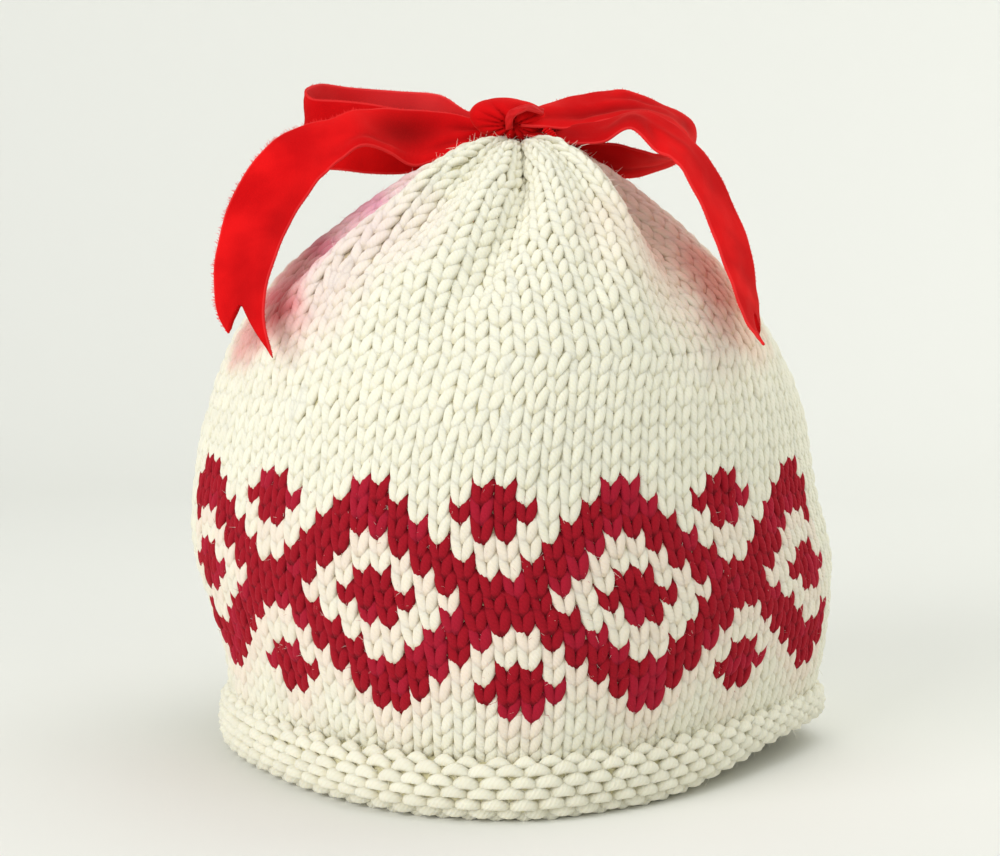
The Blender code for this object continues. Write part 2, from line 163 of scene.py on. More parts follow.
def wall(angle, place, inward=0.0, fold_share=1.0):
    """Points of the wall in millimetres, moved inward along its slope."""
    angle, place, inward = np.broadcast_arrays(
        *(np.asarray(v, float) for v in (angle, place, inward)))
    row = along(WALL, place)
    ahead = along(WALL, np.minimum(place + SLOPE_STEP, LAST_ROW))
    behind = along(WALL, np.maximum(place - SLOPE_STEP, 0.0))
    height, reach = row[..., 0], plan_reach(row, angle)
    climb = ahead[..., 0] - behind[..., 0]
    widen = plan_reach(ahead, angle) - plan_reach(behind, angle)
    length = np.hypot(climb, widen)
    out, up = climb / length, -widen / length
    foot = 1.0 - eased(height, CREASE_Z, FOOT_FADES)
    reach = reach + foot * sum(h * bell(angle, m, w) for m, w, h in FOOT_SWELLS)
    a = np.radians(angle)
    lift = WAVER * np.minimum(1.0, reach / WAVER_SMALLEST_RADIUS) * (
        np.sin(3 * a + height / 31.0) + 0.6 * np.sin(5 * a - height / 19.0 + 1.0))
    up_crown = eased(height, FOLDS_BEGIN, FOLDS_FULL)
    shrink = np.minimum(1.0, reach / FOLD_SMALLEST_RADIUS)
    swing = eased(height, FOLDS_TURN, FOLDS_TURNED)
    for low, top, half_width, tall in FOLDS:
        lift = lift + fold_share * up_crown * shrink * tall * bell(
            angle, low + (top - low) * swing, half_width)
    move = lift - inward
    reach, height = reach + out * move, height + up * move
    return np.stack([reach * np.sin(a), -reach * np.cos(a), height], -1) - CENTRE


def inside_depth(place):
    return FABRIC + (GATHERED - FABRIC) * eased(place, BUNCHED_FROM, BUNCHED_FULL)


def roll_surface(angle, place):
    """Points of the rolled hem in millimetres; place runs from the crease round to the inside."""
    angle, place = np.broadcast_arrays(np.asarray(angle, float), np.asarray(place, float))
    share_out, share_in, height = np.moveaxis(along(ROLL, place), -1, 0)
    foot = wall(angle, 0.0) + CENTRE
    out = ROLL_OUT_LEAST + sum(h * bell(angle, m, w) for m, w, h in ROLL_OUT)
    reach = np.hypot(foot[..., 0], foot[..., 1]) + share_out * out - share_in * (ROLL_WIDTH - out)
    middle, half_width, most = HEM_LIFT
    aside = np.minimum(1.0, np.abs(turned(angle, middle)) / half_width)
    lift = most * np.cos(aside * np.pi / 2) ** 2
    a = np.radians(angle)
    return np.stack([reach * np.sin(a), -reach * np.cos(a),
                     height + lift * (1 - height / ROLL[-1][2])], -1) - CENTRE


def roll(angle, place, inward=0.0):
    """The rolled hem, moved inward from its surface."""
    angle, place, step = np.asarray(angle), np.asarray(place), 0.02
    around = roll_surface(angle + step, place) - roll_surface(angle - step, place)
    down = roll_surface(angle, place + step) - roll_surface(angle, place - step)
    normal = unit(np.cross(down, around))
    return roll_surface(angle, place) - normal * np.asarray(inward, float)[..., None]


def unit(vectors):
    return vectors / np.maximum(np.linalg.norm(vectors, axis=-1, keepdims=True), 1e-9)


def run_along(points):
    """How far along a line each of its points lies."""
    return np.concatenate([[0.0], np.cumsum(np.linalg.norm(np.diff(points, axis=0), axis=1))])


# %% Helpers that make meshes
def new_object(name, points, faces, uv=None):
    """An object from points in millimetres; uv gives each point its place on the piece."""
    mesh = bpy.data.meshes.new(name)
    mesh.from_pydata((np.asarray(points, float) * 0.001).tolist(), [], faces)
    mesh.validate()
    if uv is not None:
        layer = mesh.uv_layers.new(name="UVMap")
        corners = np.empty(len(mesh.loops), np.int32)
        mesh.loops.foreach_get("vertex_index", corners)
        layer.data.foreach_set("uv", np.asarray(uv, np.float32)[corners].ravel())
    mesh.shade_smooth()
    obj = bpy.data.objects.new(name, mesh)
    bpy.context.scene.collection.objects.link(obj)
    return obj


def grid_faces(rows, columns, closed=True, flip=False):
    """Quads between rows of points; a closed row joins its last point to its first."""
    faces = []
    for r in range(rows - 1):
        for c in range(columns if closed else columns - 1):
            d = (c + 1) % columns
            quad = (r * columns + c, (r + 1) * columns + c, (r + 1) * columns + d, r * columns + d)
            faces.append(quad[::-1] if flip else quad)
    return faces


def made_plain(obj):
    """The object with its modifiers applied."""
    bpy.context.view_layer.update()
    graph = bpy.context.evaluated_depsgraph_get()
    mesh = bpy.data.meshes.new_from_object(obj.evaluated_get(graph), depsgraph=graph)
    obj.modifiers.clear()
    obj.data = mesh
    return obj


def triangles(obj):
    return sum(len(face.vertices) - 2 for face in obj.data.polygons)


# %% [markdown]
# ## The camera
#
# The camera stands where the photograph was taken from: just above the cosy's middle, half a
# metre away, tilted down by about six degrees.
# %% Camera
SENSOR = 36.0
FOCUS_PIXELS, PHOTO_PIXELS = 1850, 1000  # focal length and width of the photograph, in pixels
CAMERA_AT, TILT = (-0.0036, -0.509, 0.140), 5.9  # metres, and degrees below level
camera_data = bpy.data.cameras.new("camera")
camera_data.sensor_width = SENSOR
camera_data.lens = SENSOR * FOCUS_PIXELS / PHOTO_PIXELS
camera = bpy.data.objects.new("camera", camera_data)
camera.location = CAMERA_AT
camera.rotation_euler = (math.radians(90 - TILT), 0.0, 0.0)
bpy.context.scene.collection.objects.link(camera)
bpy.context.scene.camera = camera
print("camera lens", camera_data.lens, "mm")

# %% [markdown]
# ## Wool
#
# Wool yarn is a few plies twisted together. It is matt, a little hairy, and light gets some way
# into it; its hollows are painted a warm olive shade, so that they do not go grey. Four effects are
# shared by the wool: the ply's slanting lines, painted shade in the hollows of each stitch, pink
# blotches on the crown near the ribbon, and fine hairiness. Each is a node group, built once, with
# named inputs.
# %% Node helpers
def group(name, inputs, outputs):
    tree = bpy.data.node_groups.new(name, "ShaderNodeTree")
    for label, kind, value in inputs:
        socket = tree.interface.new_socket(label, in_out="INPUT", socket_type="NodeSocket" + kind)
        socket.default_value = value
    for label, kind in outputs:
        tree.interface.new_socket(label, in_out="OUTPUT", socket_type="NodeSocket" + kind)
    return tree, tree.nodes.new("NodeGroupInput"), tree.nodes.new("NodeGroupOutput")


def math_node(tree, operation, a, b=None, clamp=False):
    node = tree.nodes.new("ShaderNodeMath")
    node.operation, node.use_clamp = operation, clamp
    for socket, value in zip(node.inputs, (a, b)):
        if value is None:
            continue
        if isinstance(value, (int, float)):
            socket.default_value = value
        else:
            tree.links.new(value, socket)
    return node.outputs[0]


def mixed(tree, share, a, b, blend="MIX"):
    node = tree.nodes.new("ShaderNodeMix")
    node.data_type, node.blend_type = "RGBA", blend
    for socket, value in ((node.inputs[0], share), (node.inputs[6], a), (node.inputs[7], b)):
        if isinstance(value, (int, float)):
            socket.default_value = value
        elif isinstance(value, tuple):
            socket.default_value = (*value, 1.0)
        else:
            tree.links.new(value, socket)
    return node.outputs[2]


def ranged(tree, value, low, high, to_low=0.0, to_high=1.0):
    node = tree.nodes.new("ShaderNodeMapRange")
    node.interpolation_type = "SMOOTHSTEP"
    tree.links.new(value, node.inputs[0])
    for socket, number in zip(node.inputs[1:5], (low, high, to_low, to_high)):
        socket.default_value = number
    return node.outputs[0]


def noise(tree, vector, scale, detail=2.0, output=0):
    node = tree.nodes.new("ShaderNodeTexNoise")
    node.inputs["Scale"].default_value = scale
    node.inputs["Detail"].default_value = detail
    tree.links.new(vector, node.inputs["Vector"])
    return node.outputs[output]


def place(tree, output="Object"):
    return tree.nodes.new("ShaderNodeTexCoord").outputs[output]


def vector_node(tree, operation, *values, output="Vector"):
    node = tree.nodes.new("ShaderNodeVectorMath")
    node.operation = operation
    for socket, value in zip(node.inputs, values):
        if isinstance(value, tuple):
            socket.default_value = value
        else:
            tree.links.new(value, socket)
    return node.outputs[output]


def attribute(tree, name, output="Fac"):
    node = tree.nodes.new("ShaderNodeAttribute")
    node.attribute_name = name
    return node.outputs[output]


# %% Ply twist, and hairiness
def ply_group():
    """Height of the slanting plies along a stitch, from its UV: along it, and round it; and where
    shade is painted in the grooves between them.
    """
    tree, ins, outs = group("ply twist", (
        ("UV", "Vector", (0, 0, 0)), ("Turns along a stitch", "Float", 2.0),
        ("Plies", "Float", 3.0)), (("Height", "Float"), ("Hollow", "Float")))
    split = tree.nodes.new("ShaderNodeSeparateXYZ")
    tree.links.new(ins.outputs["UV"], split.inputs[0])
    turns = math_node(tree, "MULTIPLY", split.outputs[0], ins.outputs["Turns along a stitch"])
    plies = math_node(tree, "MULTIPLY", split.outputs[1], ins.outputs["Plies"])
    wave = math_node(tree, "SINE", math_node(tree, "MULTIPLY", math_node(tree, "ADD", turns, plies),
                                             2 * math.pi))
    tree.links.new(math_node(tree, "ADD", math_node(tree, "MULTIPLY", wave, 0.5), 0.5),
                   outs.inputs["Height"])
    tree.links.new(ranged(tree, wave, -0.3, -1.0), outs.inputs["Hollow"])
    return tree


def stitch_shade_group():
    """Where shade is painted on a stitch: its sides and its tucked ends, from its UV."""
    tree, ins, outs = group("stitch hollows", (
        ("UV", "Vector", (0, 0, 0)), ("Ends", "Float", 0.8)), (("Hollow", "Float"),))
    split = tree.nodes.new("ShaderNodeSeparateXYZ")
    tree.links.new(ins.outputs["UV"], split.inputs[0])
    folded = math_node(tree, "ABSOLUTE", math_node(tree, "SUBTRACT", math_node(
        tree, "MULTIPLY", split.outputs[1], 2.0), 1.0))
    sides = ranged(tree, folded, 0.15, 0.75)
    other_end = math_node(tree, "SUBTRACT", 1.0, split.outputs[0])
    near = math_node(tree, "MINIMUM", split.outputs[0], other_end)
    ends = math_node(tree, "MULTIPLY", ranged(tree, near, 0.24, 0.06), ins.outputs["Ends"])
    tree.links.new(math_node(tree, "MAXIMUM", sides, ends), outs.inputs["Hollow"])
    return tree


def hair_group():
    """Fine hairs over the wool: stretched noise in two directions, in object coordinates."""
    tree, ins, outs = group("wool hair", (("Fineness", "Float", 1.0),), (("Height", "Float"),))
    parts = []
    for turn, stretch in ((0.5, (2600, 2600, 700)), (-0.7, (900, 2600, 3000))):
        mapping = tree.nodes.new("ShaderNodeMapping")
        mapping.inputs["Rotation"].default_value = (turn, turn, 0.4)
        mapping.inputs["Scale"].default_value = stretch
        tree.links.new(place(tree), mapping.inputs["Vector"])
        parts.append(noise(tree, mapping.outputs[0], 1.6, 1.0))
    both = math_node(tree, "MAXIMUM", parts[0], parts[1])
    tree.links.new(math_node(tree, "MULTIPLY", both, ins.outputs["Fineness"]),
                   outs.inputs["Height"])
    return tree


# %% [markdown]
# The crown is tinted pink near the ribbon: a lavender band down the left of the crown, a salmon one
# down the right, and weaker blotches between. Each blotch is a ball of colour that fades out,
# placed in the object's own coordinates, so it looks the same from every side.
# %% Pink tint near the ribbon
# middle x, y, z in metres, radius, share of it that is full, strength, colour
BLOTCHES = (
    ((-0.035, -0.006, 0.153), 0.015, 0.50, 0.75, (0.95, 0.62, 0.84)),
    ((-0.046, -0.011, 0.144), 0.016, 0.55, 0.85, (0.94, 0.55, 0.76)),
    ((-0.057, -0.018, 0.133), 0.018, 0.60, 0.90, (0.90, 0.47, 0.58)),
    ((-0.066, -0.026, 0.120), 0.019, 0.50, 0.90, (0.88, 0.42, 0.47)),
    ((-0.058, -0.032, 0.126), 0.013, 0.50, 0.80, (0.90, 0.44, 0.52)),
    ((-0.058, -0.040, 0.119), 0.012, 0.30, 0.70, (0.92, 0.52, 0.57)),
    ((-0.050, -0.030, 0.133), 0.011, 0.30, 0.60, (0.95, 0.60, 0.78)),
    ((-0.036, -0.034, 0.141), 0.027, 0.00, 0.50, (0.96, 0.68, 0.88)),
    ((-0.052, -0.044, 0.124), 0.022, 0.00, 0.50, (0.95, 0.66, 0.80)),
    ((0.027, -0.014, 0.153), 0.016, 0.30, 0.40, (0.97, 0.60, 0.66)),
    ((0.042, -0.024, 0.140), 0.018, 0.20, 0.34, (0.96, 0.64, 0.64)),
    ((0.053, -0.022, 0.128), 0.017, 0.30, 0.62, (0.95, 0.42, 0.36)),
    ((0.060, -0.028, 0.118), 0.017, 0.20, 0.60, (0.95, 0.50, 0.42)),
    ((0.036, -0.034, 0.136), 0.031, 0.00, 0.40, (0.96, 0.62, 0.62)),
    ((0.000, 0.030, 0.150), 0.026, 0.10, 0.45, (0.86, 0.46, 0.46)),
    ((-0.028, 0.046, 0.140), 0.022, 0.10, 0.40, (0.74, 0.38, 0.46)),
)


WANDER, WANDER_SCALE = 0.016, 60.0  # metres by which a blotch's edge wanders, and how finely


def blush_group():
    tree, ins, outs = group("dye bled from the ribbon", (
        ("Wool", "Color", (0.8, 0.8, 0.7, 1)), ("Strength", "Float", 1.0)), (("Color", "Color"),))
    here = place(tree)
    wandered = vector_node(tree, "MULTIPLY_ADD", noise(tree, here, WANDER_SCALE, 2.0, 1),
                           (WANDER,) * 3, here)
    centred = vector_node(tree, "ADD", wandered, (-WANDER / 2,) * 3)
    colour = ins.outputs["Wool"]
    for middle, radius, full, strength, dye in BLOTCHES:
        away = vector_node(tree, "DISTANCE", centred, middle, output="Value")
        share = ranged(tree, away, radius, full * radius, 0.0, strength)
        share = math_node(tree, "MULTIPLY", share, ins.outputs["Strength"])
        tinted = mixed(tree, 1.0, colour, dye, "MULTIPLY")
        colour = mixed(tree, share, colour, tinted)
    tree.links.new(colour, outs.inputs["Color"])
    return tree


PLY, STITCH_SHADE, HAIR, BLUSH = ply_group(), stitch_shade_group(), hair_group(), blush_group()
print("node groups:", PLY.name, "|", STITCH_SHADE.name, "|", HAIR.name, "|", BLUSH.name)


# %% Wool materials
def new_material(name, roughness, sheen, sheen_tint=(1, 1, 1), subsurface=0.0):
    material = bpy.data.materials.new(name)
    material.use_nodes = True
    shader = material.node_tree.nodes["Principled BSDF"]
    shader.inputs["Roughness"].default_value = roughness
    shader.inputs["Specular IOR Level"].default_value = 0.2
    shader.inputs["Sheen Weight"].default_value = sheen
    shader.inputs["Sheen Roughness"].default_value = 0.5
    shader.inputs["Sheen Tint"].default_value = (*sheen_tint, 1.0)
    shader.inputs["Subsurface Weight"].default_value = subsurface
    shader.inputs["Subsurface Radius"].default_value = (1.0, 0.85, 0.6)
    shader.inputs["Subsurface Scale"].default_value = 0.0015
    return material, material.node_tree, shader


def use(tree, shared, **links):
    node = tree.nodes.new("ShaderNodeGroup")
    node.node_tree = shared
    for label, value in links.items():
        socket = node.inputs[label.replace("_", " ")]
        if isinstance(value, (int, float)):
            socket.default_value = value
        elif isinstance(value, tuple):
            socket.default_value = (*value, 1.0)
        else:
            tree.links.new(value, socket)
    return node


def bump(tree, shader, height, strength, distance, under=None):
    node = tree.nodes.new("ShaderNodeBump")
    node.inputs["Strength"].default_value = strength
    node.inputs["Distance"].default_value = distance
    tree.links.new(height, node.inputs["Height"])
    if under is not None:
        tree.links.new(under, node.inputs["Normal"])
    if shader is not None:
        tree.links.new(node.outputs[0], shader.inputs["Normal"])
    return node.outputs[0]


def yarn(name, light, shade_colour, bled, blush, depth=0.50, softness=0.48,
         sheen_tint=(1.0, 0.97, 0.88)):
    """Twisted wool: its own colour on top of a stitch, painted shade at its sides, its tucked ends
    and in the grooves of its plies, and a tone uneven from stitch to stitch.

    Depth is the share of painted shade at a stitch's sides and ends. Softness is the share of the
    cloth's own slope in the shading of each stitch.
    """
    material, tree, shader = new_material(name, 0.95, 0.3, sheen_tint, 0.2)
    plies = use(tree, PLY, UV=place(tree, "UV"), Turns_along_a_stitch=7.0, Plies=-5.0)
    base = mixed(tree, attribute(tree, "tone"), tuple(0.93 * c for c in light), light)
    deep = use(tree, STITCH_SHADE, UV=place(tree, "UV"), Ends=0.8)
    # Painted shade: the shade colour in the ply grooves, then at the stitch's sides and tucked ends
    base = mixed(tree, math_node(tree, "MULTIPLY", plies.outputs["Hollow"], 0.10), base, shade_colour)
    base = mixed(tree, math_node(tree, "MULTIPLY", deep.outputs["Hollow"], depth), base, shade_colour)
    base = mixed(tree, attribute(tree, "bleed"), base, bled)
    if blush:
        base = use(tree, BLUSH, Wool=base, Strength=1.0).outputs["Color"]
    tree.links.new(base, shader.inputs["Base Color"])
    hairs = use(tree, HAIR, Fineness=1.0)
    soft = tree.nodes.new("ShaderNodeMix")
    soft.data_type = "VECTOR"
    soft.inputs[0].default_value = softness
    tree.links.new(tree.nodes.new("ShaderNodeNewGeometry").outputs["Normal"], soft.inputs[4])
    tree.links.new(attribute(tree, "out", "Vector"), soft.inputs[5])
    even = vector_node(tree, "NORMALIZE", soft.outputs[1])
    under = bump(tree, None, hairs.outputs["Height"], 0.5, 0.00015, even)
    bump(tree, shader, plies.outputs["Height"], 0.25, 0.00018, under)
    return material


# The second colour of each yarn pair is painted shade for the hollows of its stitches
CREAM, CREAM_PAINTED_SHADE = (0.86, 0.83, 0.69), (0.66, 0.58, 0.32)
CRIMSON, CRIMSON_PAINTED_SHADE = (0.34, 0.004, 0.014), (0.10, 0.0, 0.003)
CREAM_BLED, CRIMSON_BLED = (0.84, 0.50, 0.45), (0.46, 0.015, 0.05)
# The backing is painted shade: a darker olive than the wool, seen in the gaps between stitches and
# inside
SHADED_BACKING_DEEP, SHADED_BACKING_LIGHT = (0.56, 0.51, 0.30), (0.66, 0.61, 0.38)
cream_yarn = yarn("cream_wool_yarn", CREAM, CREAM_PAINTED_SHADE, CREAM_BLED, True)
crimson_yarn = yarn("crimson_wool_yarn", CRIMSON, CRIMSON_PAINTED_SHADE, CRIMSON_BLED, False,
                    depth=0.85, softness=0.30, sheen_tint=(0.8, 0.1, 0.14))
backing, tree, shader = new_material("cream_wool_backing", 0.95, 0.1)
cloth_noise = noise(tree, place(tree), 420.0, 3.0)
shaded_backing_colour = mixed(tree, cloth_noise, SHADED_BACKING_DEEP, SHADED_BACKING_LIGHT)
tree.links.new(use(tree, BLUSH, Wool=shaded_backing_colour, Strength=0.9).outputs["Color"],
               shader.inputs["Base Color"])
bump(tree, shader, cloth_noise, 0.6, 0.0006)
print("wool materials:", cream_yarn.name, crimson_yarn.name, backing.name)

# %% [markdown]
# ## The backing cloth
#
# Between the stitches one looks into the thickness of the knitting. A smooth wall, set a little
# inside the solid's surface, closes those gaps, carries the stitches and lines the hollow inside.
# Its colour, a darker olive than the wool, is painted shade for the gaps and the inside. It is one
# tube: down the outside, round the rolled hem, and up the inside.
# %% Backing cloth
SUNK = 0.95  # depth of the backing under the solid's surface
AROUND, OUTSIDE_RINGS, HEM_RINGS, INSIDE_RINGS = 176, 64, 30, 34
BACKING_ROWS, INSIDE_ROWS = (11.5, 0.03), (1.2, 11.0)  # rows of WALL it runs between
HEM_UNSUNK = (4.0, 5.6)  # rows of ROLL over which it comes out to the solid's surface, underneath
angles = np.arange(AROUND) * 360.0 / AROUND
rings = [wall(angles, p, SUNK) for p in np.linspace(*BACKING_ROWS, OUTSIDE_RINGS)]
for q in np.linspace(0.0, ROLL_END, HEM_RINGS):
    depth = SUNK * (1 - eased(q, *HEM_UNSUNK))
    rings.append(roll(angles, np.full(AROUND, q), np.full(AROUND, depth)))
rings += [wall(angles, p, inside_depth(p), INSIDE_FOLDS)
          for p in np.linspace(*INSIDE_ROWS, INSIDE_RINGS)]
summit = float(wall(0.0, LAST_ROW, SUNK)[2])
points = np.concatenate(rings + [[[-CENTRE[0], -CENTRE[1], summit],
                                  [-CENTRE[0], -CENTRE[1], summit - GATHERED + SUNK]]])
faces = grid_faces(len(rings), AROUND)
last = (len(rings) - 1) * AROUND
faces += [(len(points) - 2, c, (c + 1) % AROUND) for c in range(AROUND)]
faces += [(len(points) - 1, last + (c + 1) % AROUND, last + c) for c in range(AROUND)]
cosy = new_object("cosy_backing", points, faces)
cosy.data.materials.append(backing)


def gap_outline(gap, steps, grow=0.0):
    """Across and height, round the lens of a side gap."""
    _, low, high, width = gap
    t = np.arange(steps) / steps
    side = (width / 2 + grow) * np.sin(np.pi * t) ** 0.8
    height = low - grow + (high - low + 2 * grow) * t
    return np.concatenate([np.stack([side, height], -1),
                           np.stack([-side, low + high - height], -1)])


def gap_axes(gap):
    """The ways along the cloth and out of it, at a gap."""
    a = math.radians(gap[0])
    return np.array((math.cos(a), math.sin(a), 0.0)), np.array((math.sin(a), -math.cos(a), 0.0))


CUTTER_REACH = (45.0, 120.0)  # from the middle, so that it passes through one side only
for number, gap in enumerate(GAPS):
    outline = gap_outline(gap, 20)
    side, out = gap_axes(gap)
    near_far = [outline[:, :1] * side + outline[:, 1:] * (0, 0, 1) + out * reach - CENTRE
                for reach in CUTTER_REACH]
    count = len(outline)
    sides = [(i, i + count, (i + 1) % count + count, (i + 1) % count) for i in range(count)]
    cutter = new_object(f"gap_cutter_{number}", np.concatenate(near_far),
                        sides + [tuple(range(count)), tuple(range(2 * count - 1, count - 1, -1))])
    cut = cosy.modifiers.new("Gap", "BOOLEAN")
    cut.operation, cut.solver, cut.object = "DIFFERENCE", "EXACT", cutter
made_plain(cosy)
for number in range(len(GAPS)):
    bpy.data.objects.remove(bpy.data.objects[f"gap_cutter_{number}"], do_unlink=True)
print("backing cloth:", triangles(cosy), "triangles")

# %% [markdown]
# ## One stitch
#
# Seen from the front, each knitted stitch is a V of two plump legs. A leg is a short length of
# yarn whose ends dive under its neighbours, so one small closed mesh does for all of them. It has
# a few dozen faces, because it is repeated thousands of times.
# %% The leg of a stitch, and the bump of a purl row
def yarn_piece(name, sides, steps, sink, arch=0.0, ends=0.42, fullness=0.5):
    """A plump length of yarn along X, one unit long, wide and thick, with sunken ends."""
    xs = -0.5 + np.arange(steps + 1) / steps
    plump = ends + (1 - ends) * np.maximum(np.cos(np.pi * xs), 0.0) ** fullness
    round_ = np.pi + np.arange(sides) * 2 * np.pi / sides
    points, uv = [], []
    for x, w in zip(xs, plump):
        rise, bow = sink * (np.cos(np.pi * x) - 0.7), arch * (np.cos(np.pi * x) - 0.5)
        for turn in round_:
            points.append((x, 0.5 * w * np.sin(turn) + bow, 0.5 * w * np.cos(turn) + rise))
            uv.append((x + 0.5, turn / (2 * np.pi) - 0.5))
    faces = grid_faces(steps + 1, sides, flip=True)
    points += [(-0.5, arch * -0.5, sink * -0.7), (0.5, arch * -0.5, sink * -0.7)]
    uv += [(0.0, 0.0), (1.0, 0.0)]
    last = steps * sides
    faces += [(len(points) - 2, c, (c + 1) % sides)[::-1] for c in range(sides)]
    faces += [(len(points) - 1, last + (c + 1) % sides, last + c)[::-1] for c in range(sides)]
    obj = new_object(name, np.asarray(points) * 1000.0, faces, uv)
    # The seam of the UV is underneath, and the last face round reaches to 1 there, not back to 0
    layer = obj.data.uv_layers[0].data
    for face in obj.data.polygons:
        if max(layer[i].uv[1] for i in face.loop_indices) > 0.55:
            for i in face.loop_indices:
                if layer[i].uv[1] < 0.01:
                    layer[i].uv[1] = 1.0
    obj.hide_render = True
    return obj


leg_fine = yarn_piece("leg_fine", 8, 5, 0.22, ends=0.5)
leg_plain = yarn_piece("leg_plain", 6, 4, 0.22, ends=0.5)
purl_bump = yarn_piece("purl_bump", 8, 7, 0.55, 0.52, 0.36, 0.55)
print("triangles in a leg:", triangles(leg_fine), "in a purl bump:", triangles(purl_bump))


# %% [markdown]
# ## Laying the stitches
#
# Where each stitch goes follows a rule, so a Geometry Nodes tree lays them. Every point of a plan
# carries two directions, along the leg and out of the cloth, and a size. The tree turns a leg to
# those directions, makes its size a little uneven, and ends in real geometry with its yarn.
# %% Helpers for trees that lay and scatter
def new_tree(name, inputs):
    """A Geometry Nodes tree with named inputs, that puts out geometry."""
    tree = bpy.data.node_groups.new(name, "GeometryNodeTree")
    for label, kind in inputs:
        tree.interface.new_socket(label, in_out="INPUT", socket_type="NodeSocket" + kind)
    tree.interface.new_socket("Laid", in_out="OUTPUT", socket_type="NodeSocketGeometry")
    return tree, tree.nodes.new("NodeGroupInput")


def carried(tree, name):
    """A direction or size that each point carries."""
    node = tree.nodes.new("GeometryNodeInputNamedAttribute")
    node.data_type = "FLOAT_VECTOR"
    node.inputs["Name"].default_value = name
    return node.outputs[0]


def turned_to(tree, first_axis, first, second_axis, second):
    """The turn that points one axis along the first direction, and another near the second."""
    node = tree.nodes.new("FunctionNodeAxesToRotation")
    node.primary_axis, node.secondary_axis = first_axis, second_axis
    tree.links.new(first, node.inputs[0])
    tree.links.new(second, node.inputs[1])
    return node.outputs[0]


def put_on_points(tree, points, shape, turn, size, material):
    """Ends a tree: a real copy of the shape on every point, with its material."""
    nodes, link = tree.nodes, tree.links.new
    info = nodes.new("GeometryNodeObjectInfo")
    link(shape, info.inputs["Object"])
    copies = nodes.new("GeometryNodeInstanceOnPoints")
    for label, value in (("Points", points), ("Instance", info.outputs["Geometry"]),
                         ("Rotation", turn), ("Scale", size)):
        link(value, copies.inputs[label])
    real = nodes.new("GeometryNodeRealizeInstances")
    link(copies.outputs[0], real.inputs[0])
    finish = nodes.new("GeometryNodeSetMaterial")
    link(real.outputs[0], finish.inputs["Geometry"])
    link(material, finish.inputs["Material"])
    link(finish.outputs[0], nodes.new("NodeGroupOutput").inputs[0])


def run_tree(obj, tree, given, spent):
    """Runs a tree on an object, leaves a plain mesh and drops the attributes that are spent."""
    modifier = obj.modifiers.new(tree.name, "NODES")
    modifier.node_group = tree
    for item in tree.interface.items_tree:
        if item.in_out == "INPUT" and item.name in given:
            modifier[item.identifier] = given[item.name]
    made_plain(obj)
    for label in spent:
        left = obj.data.attributes.get(label)
        if left:
            obj.data.attributes.remove(left)


# %% The tree that lays stitches
def stitch_tree():
    tree, ins = new_tree("lay stitches", (
        ("Plan", "Geometry"), ("Stitch", "Object"), ("Unevenness", "Float"), ("Seed", "Int"),
        ("Yarn", "Material")))
    nodes, link = tree.nodes, tree.links.new
    spread = nodes.new("FunctionNodeRandomValue")
    spread.data_type = "FLOAT_VECTOR"
    low, high = nodes.new("ShaderNodeMath"), nodes.new("ShaderNodeMath")
    for node, operation in ((low, "SUBTRACT"), (high, "ADD")):
        node.operation = operation
        node.inputs[0].default_value = 1.0
        link(ins.outputs["Unevenness"], node.inputs[1])
    link(low.outputs[0], spread.inputs["Min"])
    link(high.outputs[0], spread.inputs["Max"])
    link(ins.outputs["Seed"], spread.inputs["Seed"])
    size = vector_node(tree, "MULTIPLY", carried(tree, "size"), spread.outputs[0])
    turn = turned_to(tree, "X", carried(tree, "lie"), "Z", carried(tree, "out"))
    put_on_points(tree, ins.outputs["Plan"], ins.outputs["Stitch"], turn, size,
                  ins.outputs["Yarn"])
    return tree


LAY_STITCHES = stitch_tree()
# A plan's columns: where each stitch is, the ways it lies and faces, its size, tone and pinkness
PLAN = ("at", "lie", "out", "size", "tone", "bleed")


def new_plan():
    return {key: [] for key in PLAN}


def add(plan, *columns):
    for key, values in zip(PLAN, columns):
        plan[key].append(values)


def joined(plan):
    return {key: np.concatenate(values) for key, values in plan.items()}


def lay(name, plan, stitch, material, unevenness=0.06, seed=1):
    """Lays a stitch on each place of a plan."""
    obj = new_object(name, plan["at"], [])
    for label in ("lie", "out", "size"):
        scale = 0.001 if label == "size" else 1.0
        data = obj.data.attributes.new(label, "FLOAT_VECTOR", "POINT").data
        data.foreach_set("vector", (np.asarray(plan[label], np.float32) * scale).ravel())
    for label in ("tone", "bleed"):
        data = obj.data.attributes.new(label, "FLOAT", "POINT").data
        data.foreach_set("value", np.asarray(plan[label], np.float32))
    run_tree(obj, LAY_STITCHES, {"Stitch": stitch, "Unevenness": unevenness, "Seed": seed,
                                 "Yarn": material}, ("lie", "size"))
    obj.data.shade_smooth()
    print(name, len(plan["at"]), "places,", triangles(obj), "triangles")
    return obj


# %% [markdown]
# ## Where the stitches lie
#
# The cosy is knitted as a front and a back of 44 columns, joined under and over the side gaps, and
# its rows keep one pitch all the way up. Columns are spaced evenly along each row between the
# gaps' edges, so they bend round a gap as real ones do. Towards the crown, pairs of columns are
# knitted together at the edges of eight sectors, and the rest are drawn in by the ribbon.
# %% Rows and columns
PANEL = 44  # columns in the front, and in the back
STITCH_DEPTH = 0.9  # depth of the stitches' middles under the solid's surface
SECTOR = 11  # columns between two lines of decreases
ROW_PITCH = 4.4
# Rows from which each sector loses two columns, and how much of the two is lost row by row
DECREASES = (17, 25, 34)
LOST = (0.0, 0.45, 0.9, 2.0)
LATER = (1, 0, 3, 2)  # rows by which each sector's decreases come later
TOP_REACH = 7.0  # reach of the crown at which the knitting ends, under the knot

